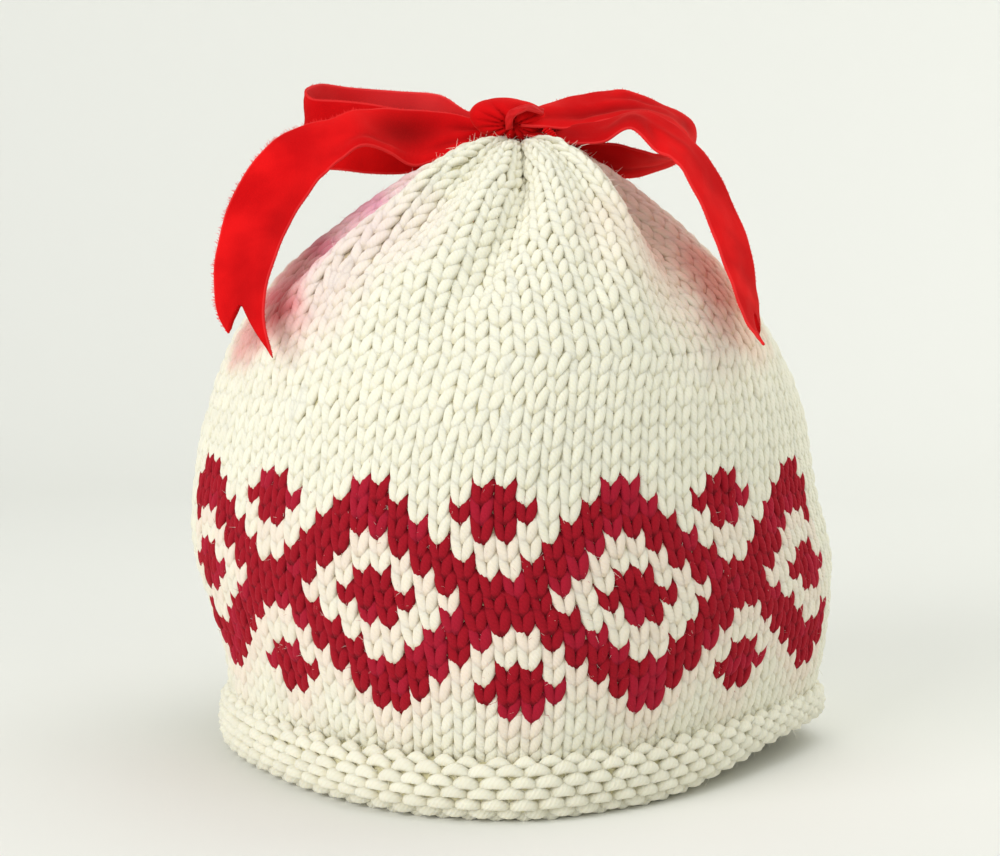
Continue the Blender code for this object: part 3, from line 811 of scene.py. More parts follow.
fine_places = np.linspace(0.0, LAST_ROW - 0.4, 800)
meridians = np.stack([wall(a, fine_places, 0.0, 0.0) for a in (0.0, 50.0, 180.0, 310.0)])
steps = np.linalg.norm(np.diff(meridians, axis=1), axis=-1).mean(axis=0)
climbed = np.concatenate([[0.0], np.cumsum(steps)])
ROWS = int(climbed[-1] / ROW_PITCH)
print("rows:", ROWS, "columns round:", 2 * PANEL)


def place_of_row(row):
    return np.interp((np.asarray(row, float) + 0.35) * ROW_PITCH, climbed, fine_places)


def left_in_sector(row):
    return SECTOR - sum(LOST[min(max(row - first, 0), len(LOST) - 1)] for first in DECREASES)


def gap_half(gap, height):
    _, low, high, width = gap
    t = np.clip((height - low) / (high - low), 0.0, 1.0)
    return (width / 2 + 0.8) * np.sin(np.pi * t) ** 0.8


def panel_curve(panel, row):
    """Angles of a row and how far along the cloth each lies, between the two gaps' edges."""
    p = float(place_of_row(row))
    turn = np.linspace(-90.0, 90.0, 721) + 180.0 * panel
    points = wall(turn, p)
    run = run_along(points)
    height = float(along(WALL, p)[0])
    first, last = (GAPS[0], GAPS[1]) if panel == 0 else (GAPS[1], GAPS[0])
    return p, turn, run, gap_half(first, height), run[-1] - gap_half(last, height)


def cloth_point(panel, row, column):
    """Points of the cloth at columns, from 0 to 44 across a panel, which may be fractions."""
    p, turn, run, start, end = panel_curve(panel, row)
    share = np.asarray(column, float) / PANEL
    angle = np.interp(start + share * (end - start), run, turn)
    return wall(angle, p, STITCH_DEPTH)


def columns_in_row(row):
    """Numbers of the columns alive in a row, and where across the panel their middles lie."""
    number = np.arange(PANEL)
    left = np.array([left_in_sector(row - late) for late in LATER])[number // SECTOR]
    offset = number % SECTOR + 0.5 - SECTOR / 2
    alive = np.abs(offset) < left / 2
    middle = (number // SECTOR + 0.5 + offset / left) * SECTOR
    return number[alive], middle[alive], (SECTOR / left)[alive]


# %% [markdown]
# ## The pattern in the front
#
# A band of linked diamonds with small seeds between them, a traditional motif charted for this
# part, fills the front in crimson yarn. One row of text is one row of knitting.
# %% Chart
CHART = (  # from the top row down; x is crimson
    "x....xx....x",
    "xx..xxxx..xx",
    "x..xxxxxx..x",
    "..xxx..xxx..",
    ".xxx....xxx.",
    "xxx..xx..xxx",
    "xx..xxxx..xx",
    "xxx..xx..xxx",
    ".xxx....xxx.",
    "..xxx..xxx..",
    "x..xxxxxx..x",
    "xx..xxxx..xx",
    "x....xx....x",
)
CHART_FOOT = 3  # row of knitting that its lowest row is worked in
CHART_SHIFT = 2  # columns by which it is moved, so that it is centred in the front


def is_crimson(panel, row, number):
    line = CHART_FOOT + len(CHART) - 1 - row
    if panel != 0 or not 0 <= line < len(CHART):
        return np.zeros(len(number), bool)
    marks = np.array([mark == "x" for mark in CHART[line]])
    plain_edge = (number <= 1) | (number >= PANEL - 2)
    return marks[(np.asarray(number) + CHART_SHIFT) % len(marks)] & ~plain_edge


# rows up to a crimson stitch, columns across to it, how much of it bleeds
BLEEDS = ((1, 0, 0.12), (2, 0, 0.08), (0, 1, 0.04), (0, -1, 0.04), (3, 0, 0.04))


def bled_from(panel, row, number):
    """How pink a cream stitch is: crimson worked just above or beside it has bled into it."""
    total = np.zeros(len(number))
    for up, across, share in BLEEDS:
        total += share * is_crimson(panel, row + up, number + across)
    return total


# %% The plan of every leg
LEGS = (  # side, foot across, head across, half-length along, width, thickness, proud
    (-1, 0.14, 0.36, 0.94, 0.46, 2.10, 0.00),
    (1, 0.03, 0.48, 0.82, 0.50, 2.30, 0.08),
)
PROUD_FOOT = 0.26  # how far a leg's foot stands out, and its head is tucked in
# How unevenly a hand knits: millimetres across and out of the cloth, and turn
UNEVEN_ACROSS, UNEVEN_OUT, UNEVEN_TURN = 0.10, 0.14, 0.035
PINK_CRIMSON, PINK_SHARE = 0.35, 0.3  # how pink, and how many, of the paler crimson stitches
rng = np.random.default_rng(41)


def plan_of(panel, rows, want_crimson):
    plan = new_plan()
    for row in rows:
        number, middle, wide = columns_in_row(row)
        here = cloth_point(panel, row, middle)
        if np.hypot(*(here[0] + CENTRE)[:2]) < TOP_REACH:
            break
        red = is_crimson(panel, row, number)
        bleed = np.where(red, PINK_CRIMSON * (rng.random(len(red)) < PINK_SHARE),
                         bled_from(panel, row, number))
        up = cloth_point(panel, row + 0.5, middle) - cloth_point(panel, row - 0.5, middle)
        across = (cloth_point(panel, row, middle + 0.5 * wide)
                  - cloth_point(panel, row, middle - 0.5 * wide))
        normal = unit(np.cross(across, up))
        pitch = np.linalg.norm(across, axis=1)
        keep = red == want_crimson
        if not keep.any():
            continue
        wobble = rng.normal(0.0, 1.0, (len(number), 3))
        for side, foot, head, half, width, thick, proud in LEGS:
            low = side * foot * across - half * up + PROUD_FOOT * normal
            high = side * head * across + half * up - PROUD_FOOT * normal
            lie = high - low
            at = here + 0.5 * (low + high) + proud * normal
            at = at + UNEVEN_ACROSS * wobble[:, :1] * across / pitch[:, None] \
                + UNEVEN_OUT * wobble[:, 1:2] * normal
            length = np.linalg.norm(lie, axis=1)
            lie = unit(unit(lie) + UNEVEN_TURN * wobble[:, 2:] * unit(across))
            fat = np.minimum(thick, 0.7 + 0.5 * pitch)
            size = np.stack([length, width * pitch + 0.25, fat], -1)
            add(plan, at[keep], lie[keep], normal[keep], size[keep],
                rng.random(len(number))[keep], bleed[keep])
    return joined(plan)


CROWN_ROW = 21  # row in which the crown's own piece begins
BODY, CROWN = range(CROWN_ROW), range(CROWN_ROW, ROWS + 1)
# name, panel, rows, crimson, leg, yarn, seed
PANELS = (
    ("stitches_front", 0, BODY, False, leg_fine, cream_yarn, 3),
    ("stitches_pattern", 0, BODY, True, leg_fine, crimson_yarn, 4),
    ("stitches_crown", 0, CROWN, False, leg_fine, cream_yarn, 5),
    ("stitches_back", 1, BODY, False, leg_plain, cream_yarn, 6),
    ("stitches_crown_back", 1, CROWN, False, leg_plain, cream_yarn, 7),
)
front_body, pattern, front_crown, back_body, back_crown = [
    lay(name, plan_of(panel, rows, crimson), leg, yarn_, seed=seed)
    for name, panel, rows, crimson, leg, yarn_, seed in PANELS]

# %% [markdown]
# ## The rolled hem
#
# Plain knitting curls outwards at its cast-on edge, so the hem shows its other face: rows of purl
# bumps, each a short arch of yarn, staggered from row to row like the scales of a fish.
# %% Purl bumps round the hem
BUMPS_ROUND = 72
BUMP_OVERLAP, BUMP_THICK = 1.26, 3.3
UNEVEN_ROUND, UNEVEN_DOWN = 0.25, 0.03  # millimetres along a row, and rows of ROLL across it
# place round the roll, width of the yarn, depth under the solid's surface
PURL_ROWS = (
    (0.25, 3.0, 0.7), (1.15, 3.2, 0.5), (2.0, 3.2, 0.4), (2.8, 3.2, 0.4), (3.6, 3.1, 0.5),
    (4.45, 2.9, 0.9), (5.2, 2.6, 1.4),
)
hem, none = new_plan(), np.zeros(BUMPS_ROUND)
for line, (q, width, depth) in enumerate(PURL_ROWS):
    turn = np.linspace(0.0, 360.0, 2881)
    run = run_along(roll(turn, np.full(len(turn), q), np.zeros(len(turn))))
    spots = (np.arange(BUMPS_ROUND) + 0.5 * (line % 2)) / BUMPS_ROUND * run[-1]
    spots = spots + rng.normal(0.0, UNEVEN_ROUND, BUMPS_ROUND)
    angle = np.interp(spots, run, turn)
    q_here = np.full(BUMPS_ROUND, q) + rng.normal(0.0, UNEVEN_DOWN, BUMPS_ROUND)
    at = roll(angle, q_here, np.full(BUMPS_ROUND, depth))
    around = unit(roll(angle + 1.0, q_here, none) - roll(angle - 1.0, q_here, none))
    down = roll(angle, q_here + 0.1, none) - roll(angle, q_here - 0.1, none)
    pitch = run[-1] / BUMPS_ROUND
    add(hem, at, around, unit(np.cross(down, around)),
        np.tile((pitch * BUMP_OVERLAP, width, BUMP_THICK), (BUMPS_ROUND, 1)),
        rng.random(BUMPS_ROUND), none)
rolled_hem = lay("rolled_hem", joined(hem), purl_bump, cream_yarn, 0.08, seed=8)


def rest_on_floor(obj):
    """Presses flat what would reach under the floor, as the cosy's own weight does."""
    points = np.empty(len(obj.data.vertices) * 3, np.float32)
    obj.data.vertices.foreach_get("co", points)
    points = points.reshape(-1, 3)
    points[:, 2] = np.maximum(points[:, 2], 0.0)
    obj.data.vertices.foreach_set("co", points.ravel())
    obj.data.update()


rest_on_floor(rolled_hem)

# %% [markdown]
# ## The edges of the side gaps
#
# The edge stitches of a gap form a chain that turns a little inwards and hides the cloth's cut
# thickness. The same yarn pieces are laid end to end round each gap, in three lines.
# %% Chains round the gaps
edge = new_plan()
CHAIN_PITCH, CHAIN_OVERLAP, CHAIN_THICK = 4.6, 1.35, 2.0
CHAINS = ((0.7, 0.3), (2.1, 0.0), (3.5, 0.3))  # depth in the cloth, and how far outside the gap
for gap in GAPS:
    _, out = gap_axes(gap)
    for depth, grow in CHAINS:
        outline = gap_outline(gap, 160, grow)
        outline = np.concatenate([outline, outline[:1]])
        run = run_along(outline)
        count = int(run[-1] / CHAIN_PITCH)
        spots = (np.arange(count) + 0.5 * (depth > 1)) / count * run[-1]

        def on_cloth(where):
            across = np.interp(where % run[-1], run, outline[:, 0])
            height = np.interp(where % run[-1], run, outline[:, 1])
            heights = along(WALL, fine_places)[:, 0]
            p = np.interp(height, heights[:600], fine_places[:600])
            reach = np.linalg.norm((wall(gap[0], p, depth) + CENTRE)[:, :2], axis=1)
            angle = gap[0] + np.degrees(np.arctan2(across, reach))
            return wall(angle, p, depth)

        add(edge, on_cloth(spots), unit(on_cloth(spots + 1.5) - on_cloth(spots - 1.5)),
            np.tile(out, (count, 1)),
            np.tile((CHAIN_PITCH * CHAIN_OVERLAP, CHAIN_THICK, CHAIN_THICK), (count, 1)),
            rng.random(count), np.zeros(count))
gap_edges = lay("gap_edges", joined(edge), leg_plain, cream_yarn, 0.06, seed=9)

# %% [markdown]
# ## Hairs
#
# Wool is never clean-edged: loose hairs lie over it and stand off it, and soften its outline. A
# second tree scatters short curled hairs over the side of each stitch that faces outwards, turned
# at random about the way out of the cloth.
# %% Loose hairs
ON_TOP = 0.45  # how squarely a face looks out of the cloth before hairs grow on it
HAIR_SIZES = (0.5, 1.35)
HAIR_TURNS, HAIR_TILTS = 1.0, 0.3


def random_vector(tree, seed, later, reach):
    node = tree.nodes.new("FunctionNodeRandomValue")
    node.data_type = "FLOAT_VECTOR"
    node.inputs["Min"].default_value, node.inputs["Max"].default_value = (-reach,) * 3, (reach,) * 3
    tree.links.new(math_node(tree, "ADD", seed, later), node.inputs["Seed"])
    return node.outputs[0]


def hair_tree():
    tree, ins = new_tree("scatter hairs", (
        ("Stitches", "Geometry"), ("Hair", "Object"), ("Hairs to the square metre", "Float"),
        ("Seed", "Int"), ("Fibre", "Material")))
    nodes, link, seed = tree.nodes, tree.links.new, ins.outputs["Seed"]
    way_out = carried(tree, "out")
    faces_out = vector_node(tree, "DOT_PRODUCT", way_out,
                            nodes.new("GeometryNodeInputNormal").outputs[0], output="Value")
    dense = math_node(tree, "MULTIPLY", math_node(tree, "GREATER_THAN", faces_out, ON_TOP),
                      ins.outputs["Hairs to the square metre"])
    scatter = nodes.new("GeometryNodeDistributePointsOnFaces")
    link(ins.outputs["Stitches"], scatter.inputs["Mesh"])
    link(dense, scatter.inputs["Density"])
    link(seed, scatter.inputs["Seed"])
    tilted = vector_node(tree, "ADD", way_out, random_vector(tree, seed, 2, HAIR_TILTS))
    turn = turned_to(tree, "Z", tilted, "X", random_vector(tree, seed, 1, HAIR_TURNS))
    size = nodes.new("FunctionNodeRandomValue")
    size.data_type = "FLOAT"
    size.inputs[2].default_value, size.inputs[3].default_value = HAIR_SIZES
    link(seed, size.inputs["Seed"])
    put_on_points(tree, scatter.outputs["Points"], ins.outputs["Hair"], turn, size.outputs[1],
                  ins.outputs["Fibre"])
    return tree


SCATTER_HAIRS = hair_tree()


def hair_shape(name, length, width):
    """A curled, flat hair that starts on the wool and bends away from it: a strip of two faces."""
    t = np.linspace(0.0, 1.0, 3)
    spine = length * np.stack([t, 0.22 * np.sin(3.6 * t), 0.03 + 0.34 * t * t], -1)
    wide = width * np.array((0.8, 1.0, 0.3))[:, None] * (0, 0.9, 0.3) / 2
    points = np.concatenate([spine - wide, spine + wide])
    faces = [(i, i + 1, i + 4, i + 3) for i in range(2)]
    obj = new_object(name, points, faces)
    obj.hide_render = True
    return obj


def scatter(name, stitches, shape, material, density, seed):
    obj = bpy.data.objects.new(name, stitches.copy())
    bpy.context.scene.collection.objects.link(obj)
    run_tree(obj, SCATTER_HAIRS, {"Hair": shape, "Hairs to the square metre": density,
                                  "Seed": seed, "Fibre": material}, ("out", "tone", "bleed"))
    rest_on_floor(obj)
    print(name, triangles(obj), "triangles")
    return obj


def fibre_material(name, colour, blush):
    material, tree, shader = new_material(name, 0.8, 0.2)
    shader.inputs["Base Color"].default_value = (*colour, 1.0)
    if blush:
        tree.links.new(use(tree, BLUSH, Wool=colour, Strength=1.0).outputs["Color"],
                       shader.inputs["Base Color"])
    return material


cream_fibre = fibre_material("loose_cream_fibre", (0.90, 0.875, 0.76), True)
crimson_fibre = fibre_material("loose_crimson_fibre", (0.40, 0.01, 0.03), False)
hair = hair_shape("hair", 2.8, 0.09)
# piece they stand on, material, hairs to the square metre, seed
HAIRY = (
    (front_body, cream_fibre, 700000.0, 21), (front_crown, cream_fibre, 850000.0, 22),
    (back_body, cream_fibre, 150000.0, 23), (back_crown, cream_fibre, 200000.0, 24),
    (rolled_hem, cream_fibre, 800000.0, 25), (pattern, crimson_fibre, 700000.0, 26),
)
hairs = [scatter("hairs_on_" + on.name, on.data, hair, material, density, seed)
         for on, material, density, seed in HAIRY]

# %% [markdown]
# ## The velvet ribbon
#
# The bow is one length of velvet ribbon about 20 mm wide. Each loop and tail is drawn from a table
# with a row for each place along it: the two edges of the ribbon there. A smooth curve through the
# rows, a little thickness and a fine bead along both edges, where the pile ends and the woven
# selvedge begins, make it cloth instead of a plastic strip.
# %% Tables of the ribbon
# one edge's X, Y, Z, then the other edge's, in millimetres before the plan is centred
TAIL_LEFT = (
    (2.0, 1.0, 170.0, 0.0, 0.0, 167.0), (-11.7, 6.0, 172.0, -12.1, 0.5, 165.4),
    (-20.3, 9.0, 174.4, -20.1, 0.0, 162.2), (-29.2, 9.0, 175.3, -28.5, -2.0, 158.9),
    (-37.6, 7.0, 175.5, -35.5, -7.0, 161.4), (-45.1, 4.0, 174.1, -41.8, -11.5, 163.0),
    (-52.5, 0.0, 171.4, -47.3, -15.0, 160.4), (-59.7, -4.0, 169.5, -51.0, -17.0, 157.2),
    (-66.6, -8.0, 165.4, -54.2, -19.0, 154.0), (-72.8, -12.5, 157.6, -58.4, -21.5, 147.6),
    (-77.4, -18.0, 148.1, -60.9, -26.0, 142.0), (-79.5, -25.0, 136.6, -63.2, -35.5, 134.6),
    (-79.3, -31.5, 127.0, -64.6, -44.0, 126.0), (-77.6, -36.5, 119.6, -63.8, -50.5, 117.6),
    (-74.4, -40.5, 115.6, -61.6, -55.5, 110.4),
)
LOOP_LEFT = (
    (-2.0, 6.0, 172.4, -2.0, 6.0, 168.2), (-14.0, 16.0, 174.9, -14.0, 14.0, 167.4),
    (-22.7, 24.0, 180.2, -22.1, 22.5, 162.9), (-34.3, 29.0, 181.6, -34.4, 28.0, 162.0),
    (-48.3, 31.0, 182.8, -48.4, 30.0, 163.2), (-56.7, 28.0, 183.7, -56.6, 27.0, 164.2),
    (-60.8, 22.0, 181.6, -60.6, 21.0, 162.2), (-58.2, 16.5, 178.7, -58.2, 15.0, 159.3),
    (-50.3, 15.0, 178.0, -50.3, 13.0, 158.5), (-42.2, 15.0, 177.2, -42.2, 13.0, 157.6),
    (-32.2, 14.5, 175.3, -32.1, 12.0, 157.6), (-22.3, 12.5, 173.5, -22.3, 9.5, 160.2),
    (-12.5, 8.5, 171.6, -12.5, 6.0, 165.0), (-2.0, 4.0, 169.9, -2.0, 4.0, 167.0),
)
LOOP_RIGHT = (
    (-1.0, 3.0, 172.5, 0.0, -6.5, 169.5), (5.0, 6.5, 175.2, 6.0, -7.0, 168.9),
    (12.5, 10.8, 177.8, 13.3, -5.2, 168.9), (18.4, 14.0, 179.7, 18.8, -3.6, 169.9),
    (24.4, 15.0, 180.6, 24.5, -3.0, 171.7), (30.4, 15.0, 180.4, 30.7, -3.2, 173.0),
    (37.0, 15.0, 178.2, 36.4, -3.2, 172.3), (43.2, 15.0, 175.2, 41.2, -3.2, 170.4),
    (47.7, 15.0, 172.6, 43.8, -3.2, 167.7), (49.6, 15.0, 168.6, 44.3, -3.0, 164.9),
    (47.4, 15.0, 163.8, 41.4, -3.0, 162.4), (41.6, 15.5, 159.5, 36.6, -2.6, 162.4),
    (33.7, 15.0, 156.9, 31.2, -1.8, 163.8), (26.1, 13.5, 156.7, 25.0, -0.8, 165.2),
    (18.1, 10.4, 159.6, 18.4, 0.0, 166.0), (11.0, 6.8, 163.6, 11.3, 0.0, 167.2),
    (0.0, 3.0, 166.6, 0.0, 0.0, 169.4),
)
TAIL_RIGHT = (
    (0.0, 0.0, 170.0, 0.0, -4.0, 167.4), (8.0, -2.5, 168.8, 7.6, -8.0, 166.0),
    (14.7, -4.5, 169.8, 14.4, -12.0, 164.7), (22.7, -6.0, 171.2, 22.1, -16.0, 164.8),
    (30.4, -7.0, 173.4, 28.8, -20.0, 168.2), (37.0, -9.0, 172.0, 34.4, -25.0, 162.4),
    (43.0, -11.0, 168.1, 38.2, -28.0, 160.2), (47.8, -13.0, 163.0, 41.0, -30.0, 157.8),
    (52.4, -15.5, 156.4, 44.2, -32.0, 151.5), (56.7, -19.0, 147.1, 47.9, -35.5, 142.6),
    (59.4, -24.0, 138.4, 50.4, -40.5, 135.2), (60.4, -29.5, 130.2, 52.5, -46.0, 127.6),
    (60.5, -35.0, 123.9, 54.0, -52.0, 122.0), (60.0, -40.0, 119.0, 56.0, -57.0, 117.6),
    (59.4, -45.0, 114.6, 58.4, -62.0, 113.8),
)
RIBBON_THICK, NOTCH = 1.1, 11.0  # the notch is the V cut in each tail's end


# %% Velvet and satin
SELVEDGE = (0.86, 0.06, 0.06)


def velvet(name, deep, lit, sheen):
    material, tree, shader = new_material(name, 0.9, sheen, (1.0, 0.16, 0.12))
    shader.inputs["Sheen Roughness"].default_value = 0.3
    shader.inputs["Specular IOR Level"].default_value = 0.08
    across = tree.nodes.new("ShaderNodeSeparateXYZ")
    tree.links.new(place(tree, "UV"), across.inputs[0])
    aside = math_node(tree, "ABSOLUTE", math_node(tree, "SUBTRACT", across.outputs[1], 0.5))
    selvedge = ranged(tree, aside, 0.465, 0.480)
    crushed = noise(tree, place(tree), 55.0, 3.0)
    pile = noise(tree, place(tree), 2600.0, 1.0)
    base = mixed(tree, ranged(tree, crushed, 0.35, 0.7), deep, lit)
    # Painted shade in creases, fold valleys and the knot's dent: darker towards a third of the deep
    # colour
    base = mixed(tree, attribute(tree, "pressed"), base, tuple(0.30 * c for c in deep))
    base = mixed(tree, math_node(tree, "MULTIPLY", selvedge, 0.35), base, SELVEDGE)
    tree.links.new(base, shader.inputs["Base Color"])
    under = bump(tree, None, pile, 0.35, 0.0002)
    bump(tree, shader, crushed, 0.25, 0.0012, under)
    return material


pile_face = velvet("scarlet_velvet_pile", (0.54, 0.0015, 0.003), (0.72, 0.005, 0.006), 0.20)
satin_back = velvet("scarlet_satin_back", (0.66, 0.008, 0.010), (0.80, 0.017, 0.017), 0.08)
for label, value in (("Roughness", 0.55), ("Specular IOR Level", 0.12)):
    satin_back.node_tree.nodes["Principled BSDF"].inputs[label].default_value = value
print("ribbon materials:", pile_face.name, satin_back.name)


# %% [markdown]
# A ribbon never lies as a plain strip. Each crease and hollow below was placed from the photograph:
# how far along its band, how far across, its size, how much it is raised, and how much painted
# shade darkens the velvet there.
# %% Bands of ribbon
# table, depth of the notch at its end, whether the satin side is the first face
BANDS = {
    "left tail": (TAIL_LEFT, NOTCH, False), "left loop": (LOOP_LEFT, 0.0, True),
    "right loop": (LOOP_RIGHT, 0.0, True), "right tail": (TAIL_RIGHT, NOTCH, True),
}
# band, row of its table, place across, half-length in rows, half-width, height, painted shade
CREASES = (
    ("left tail", 3.3, 0.36, 1.15, 0.32, -2.6, 0.75), ("left tail", 5.1, 0.35, 0.6, 0.6, 1.0, 0.0),
    ("left tail", 4.6, 0.92, 1.5, 0.18, 1.3, 0.0),
    ("left tail", 4.2, 0.72, 1.3, 0.09, -0.6, 0.35),
    ("left tail", 1.2, 0.32, 1.1, 0.12, -1.0, 0.55),
    ("left tail", 1.6, 0.72, 1.3, 0.10, -0.9, 0.45),
    ("left tail", 9.5, 0.84, 2.4, 0.20, -0.6, 0.25), ("left tail", 7.4, 0.18, 1.8, 0.2, 0.5, 0.0),
    ("left tail", 12.0, 0.5, 1.5, 0.3, -0.5, 0.18),
    ("left loop", 3.0, 0.60, 3.6, 0.50, 0.0, 0.55), ("left loop", 4.0, 0.35, 2.0, 0.07, 0.7, 0.35),
    ("left loop", 6.1, 0.5, 0.35, 0.8, 0.0, 0.45), ("left loop", 9.4, 0.42, 2.8, 0.14, 0.9, 0.35),
    ("left loop", 12.2, 0.4, 1.0, 0.16, 0.9, 0.5), ("left loop", 12.0, 0.8, 1.2, 0.10, 0.7, 0.4),
    ("right loop", 1.2, 0.50, 1.4, 0.40, -1.7, 0.0),
    ("right loop", 3.6, 0.66, 2.8, 0.13, 1.3, 0.60),
    ("right loop", 5.4, 0.30, 1.6, 0.10, 0.7, 0.30),
    ("right loop", 8.0, 0.45, 0.8, 0.25, 0.8, 0.45),
    ("right loop", 12.6, 0.5, 3.2, 0.6, 0.0, 0.10), ("right loop", 12.2, 0.3, 1.5, 0.08, 0.5, 0.35),
    ("right tail", 1.2, 0.5, 1.9, 0.7, 0.0, 0.70), ("right tail", 3.8, 0.62, 1.2, 0.30, -0.7, 0.50),
    ("right tail", 5.6, 0.45, 1.4, 0.10, -0.5, 0.30),
    ("right tail", 13.7, 0.25, 0.8, 0.35, 0.0, 0.50),
    ("right tail", 9.5, 0.25, 2.6, 0.25, 0.5, 0.10),
)
RIPPLE = 0.16  # height of the small waves that no ribbon is without


def ribbon_points(name, where, across):
    """Points of the middle of the cloth, the way out of it, and how much painted shade darkens it.
    """
    table = BANDS[name][0]
    last = len(table) - 1.0

    def flat(at):
        both = along(table, np.clip(at, 0.0, last))
        return both[..., :3] * (1 - across[..., None]) + both[..., 3:] * across[..., None]

    both = along(table, np.clip(where, 0.0, last))
    normal = unit(np.cross(flat(where + 0.05) - flat(where - 0.05), both[..., 3:] - both[..., :3]))
    raised = RIPPLE * (np.sin(2.3 * where + 4.0 * across)
                       + 0.6 * np.sin(5.1 * where - 7.0 * across))
    pressed = np.zeros(where.shape)
    for band_name, row, middle, length, width, height, dark in CREASES:
        if band_name == name:
            near = np.exp(-((where - row) / length) ** 2 - ((across - middle) / width) ** 2)
            raised = raised + height * near
            pressed = np.maximum(pressed, dark * near)
    return flat(where) + normal * raised[..., None] - CENTRE, normal, pressed


# Places across the ribbon, and the share of its thickness there: thin at the woven selvedges
ACROSS = np.array((0, 0.02, 0.07, 0.14, 0.22, 0.30, 0.38, 0.46,
                   0.54, 0.62, 0.70, 0.78, 0.86, 0.93, 0.98, 1))
BEAD = np.array((0.35, 0.7, 0.65, 1, 1, 1, 1, 1, 1, 1, 1, 1, 1, 0.65, 0.7, 0.35))
PER_ROW = 7  # faces between two rows of a ribbon's table


def band(name):
    """Points, faces, uv, the side of each face, and the painted shade of a thin slab of ribbon."""
    table, notch, satin_first = BANDS[name]
    last = len(table) - 1.0
    rows, wide = int(last) * PER_ROW, len(ACROSS)
    tail = np.linalg.norm(np.subtract(table[-1][:3], table[-2][:3]))
    cut = notch / tail * (1 - np.abs(2 * ACROSS - 1))
    where = (last - cut)[None, :] * (np.arange(rows + 1) / rows)[:, None]
    here, normal, pressed = ribbon_points(name, where, np.broadcast_to(ACROSS, where.shape))
    half = (RIBBON_THICK / 2 * BEAD)[None, :, None]
    run = run_along(here[:, wide // 2])
    uv = np.stack(np.broadcast_arrays(run[:, None] / 20.0, ACROSS[None, :]), -1).reshape(-1, 2)
    points = np.concatenate([(here + normal * half).reshape(-1, 3),
                             (here - normal * half).reshape(-1, 3)])
    under = (rows + 1) * wide
    front = grid_faces(rows + 1, wide, closed=False)
    back = [tuple(i + under for i in face[::-1]) for face in front]
    rim = []
    for r in range(rows):
        for c, turn in ((0, 1), (wide - 1, -1)):
            a, b = r * wide + c, (r + 1) * wide + c
            rim.append((a, under + a, under + b, b)[::turn])
    for r, turn in ((0, 1), (rows, -1)):
        for c in range(wide - 1):
            a = r * wide + c
            rim.append((a, a + 1, under + a + 1, under + a)[::turn])
    kinds = [int(satin_first)] * len(front) + [int(not satin_first)] * len(back) + [0] * len(rim)
    return points, front + back + rim, np.concatenate([uv, uv]), kinds, np.tile(pressed.ravel(), 2)


# Stores how much painted shade each point of a piece gets
def set_painted_shade(obj, values):
    data = obj.data.attributes.new("pressed", "FLOAT", "POINT").data
    data.foreach_set("value", np.asarray(values, np.float32))


all_points, all_faces, all_uv, all_kinds, all_painted_shade = [], [], [], [], []
for name in BANDS:
    points, faces, uv, kinds, pressed = band(name)
    first = sum(len(p) for p in all_points)
    all_points.append(points)
    all_faces += [tuple(i + first for i in face) for face in faces]
    all_uv.append(uv)
    all_kinds += kinds
    all_painted_shade.append(pressed)
ribbon = new_object("ribbon_loops_and_tails", np.concatenate(all_points), all_faces,
                    np.concatenate(all_uv))
ribbon.data.materials.append(pile_face)
ribbon.data.materials.append(satin_back)
ribbon.data.polygons.foreach_set("material_index", all_kinds)
set_painted_shade(ribbon, np.concatenate(all_painted_shade))
print("ribbon:", triangles(ribbon), "triangles")

# %% [markdown]
# ## Pile along the edges
#
# Where velvet bends over its edge, the pile stands out as a fringe of tiny points. They are laid
# by the same tree as the stitches, from a table of the stretches of edge that show them.
# %% Fringe of pile
tuft = new_object("pile_tuft", np.array(((0, -0.5, 0), (0, 0.5, 0), (0.6, 0.35, 0.05),
                                         (0.6, -0.35, 0.05), (1, 0, 0.1))) * 1000.0,
                  [(0, 3, 2, 1), (3, 4, 2)])
tuft.hide_render = True
# band, edge, first row, last row, length, spacing
FRINGES = (
    ("left tail", 0, 5.0, 14.0, 1.10, 0.30), ("left tail", 0, 0.5, 5.0, 0.50, 0.35),
    ("left tail", 1, 4.0, 14.0, 0.40, 0.35), ("left loop", 0, 0.3, 12.5, 0.55, 0.35),
    ("left loop", 1, 0.3, 12.5, 0.45, 0.40), ("right loop", 0, 0.5, 15.0, 0.60, 0.35),
    ("right loop", 1, 0.5, 15.0, 0.45, 0.35), ("right tail", 0, 4.0, 14.0, 0.50, 0.35),
    ("right tail", 1, 4.0, 14.0, 0.45, 0.35),
)
TUFT_WIDE, TUFT_THICK, TUFT_LIFT = 0.16, 0.3, 0.25
READINGS = 600  # places at which each edge is measured
fringe = new_plan()
for name, edge_side, first, last, length, spacing in FRINGES:
    where = np.linspace(first, last, READINGS)
    at_edge, normal, _ = ribbon_points(name, where, np.full(READINGS, float(edge_side)))
    inside, _, _ = ribbon_points(name, where, np.full(READINGS, 0.1 + 0.8 * edge_side))
    run = run_along(at_edge)
    count = int(run[-1] / spacing)
    spots = (np.arange(count) + rng.random(count)) / count * run[-1]

    def read(values):
        return np.stack([np.interp(spots, run, values[:, i]) for i in range(3)], -1)

    outward, normal = unit(read(at_edge - inside)), read(normal)
    ahead = unit(read(np.gradient(at_edge, axis=0)))
    side = rng.choice((-1.0, 1.0), count)[:, None]
    add(fringe, read(at_edge) - 0.15 * outward + TUFT_LIFT * side * normal,
        unit(outward + rng.normal(0, 0.35, (count, 1)) * ahead
             + rng.normal(0.25, 0.25, (count, 1)) * side * normal),
        normal,
        np.stack([length * rng.uniform(0.5, 1.25, count), np.full(count, TUFT_WIDE),
                  np.full(count, TUFT_THICK)], -1),
        np.zeros(count), np.zeros(count))
pile_fringe = lay("pile_fringe", joined(fringe), tuft, pile_face, 0.2, seed=11)

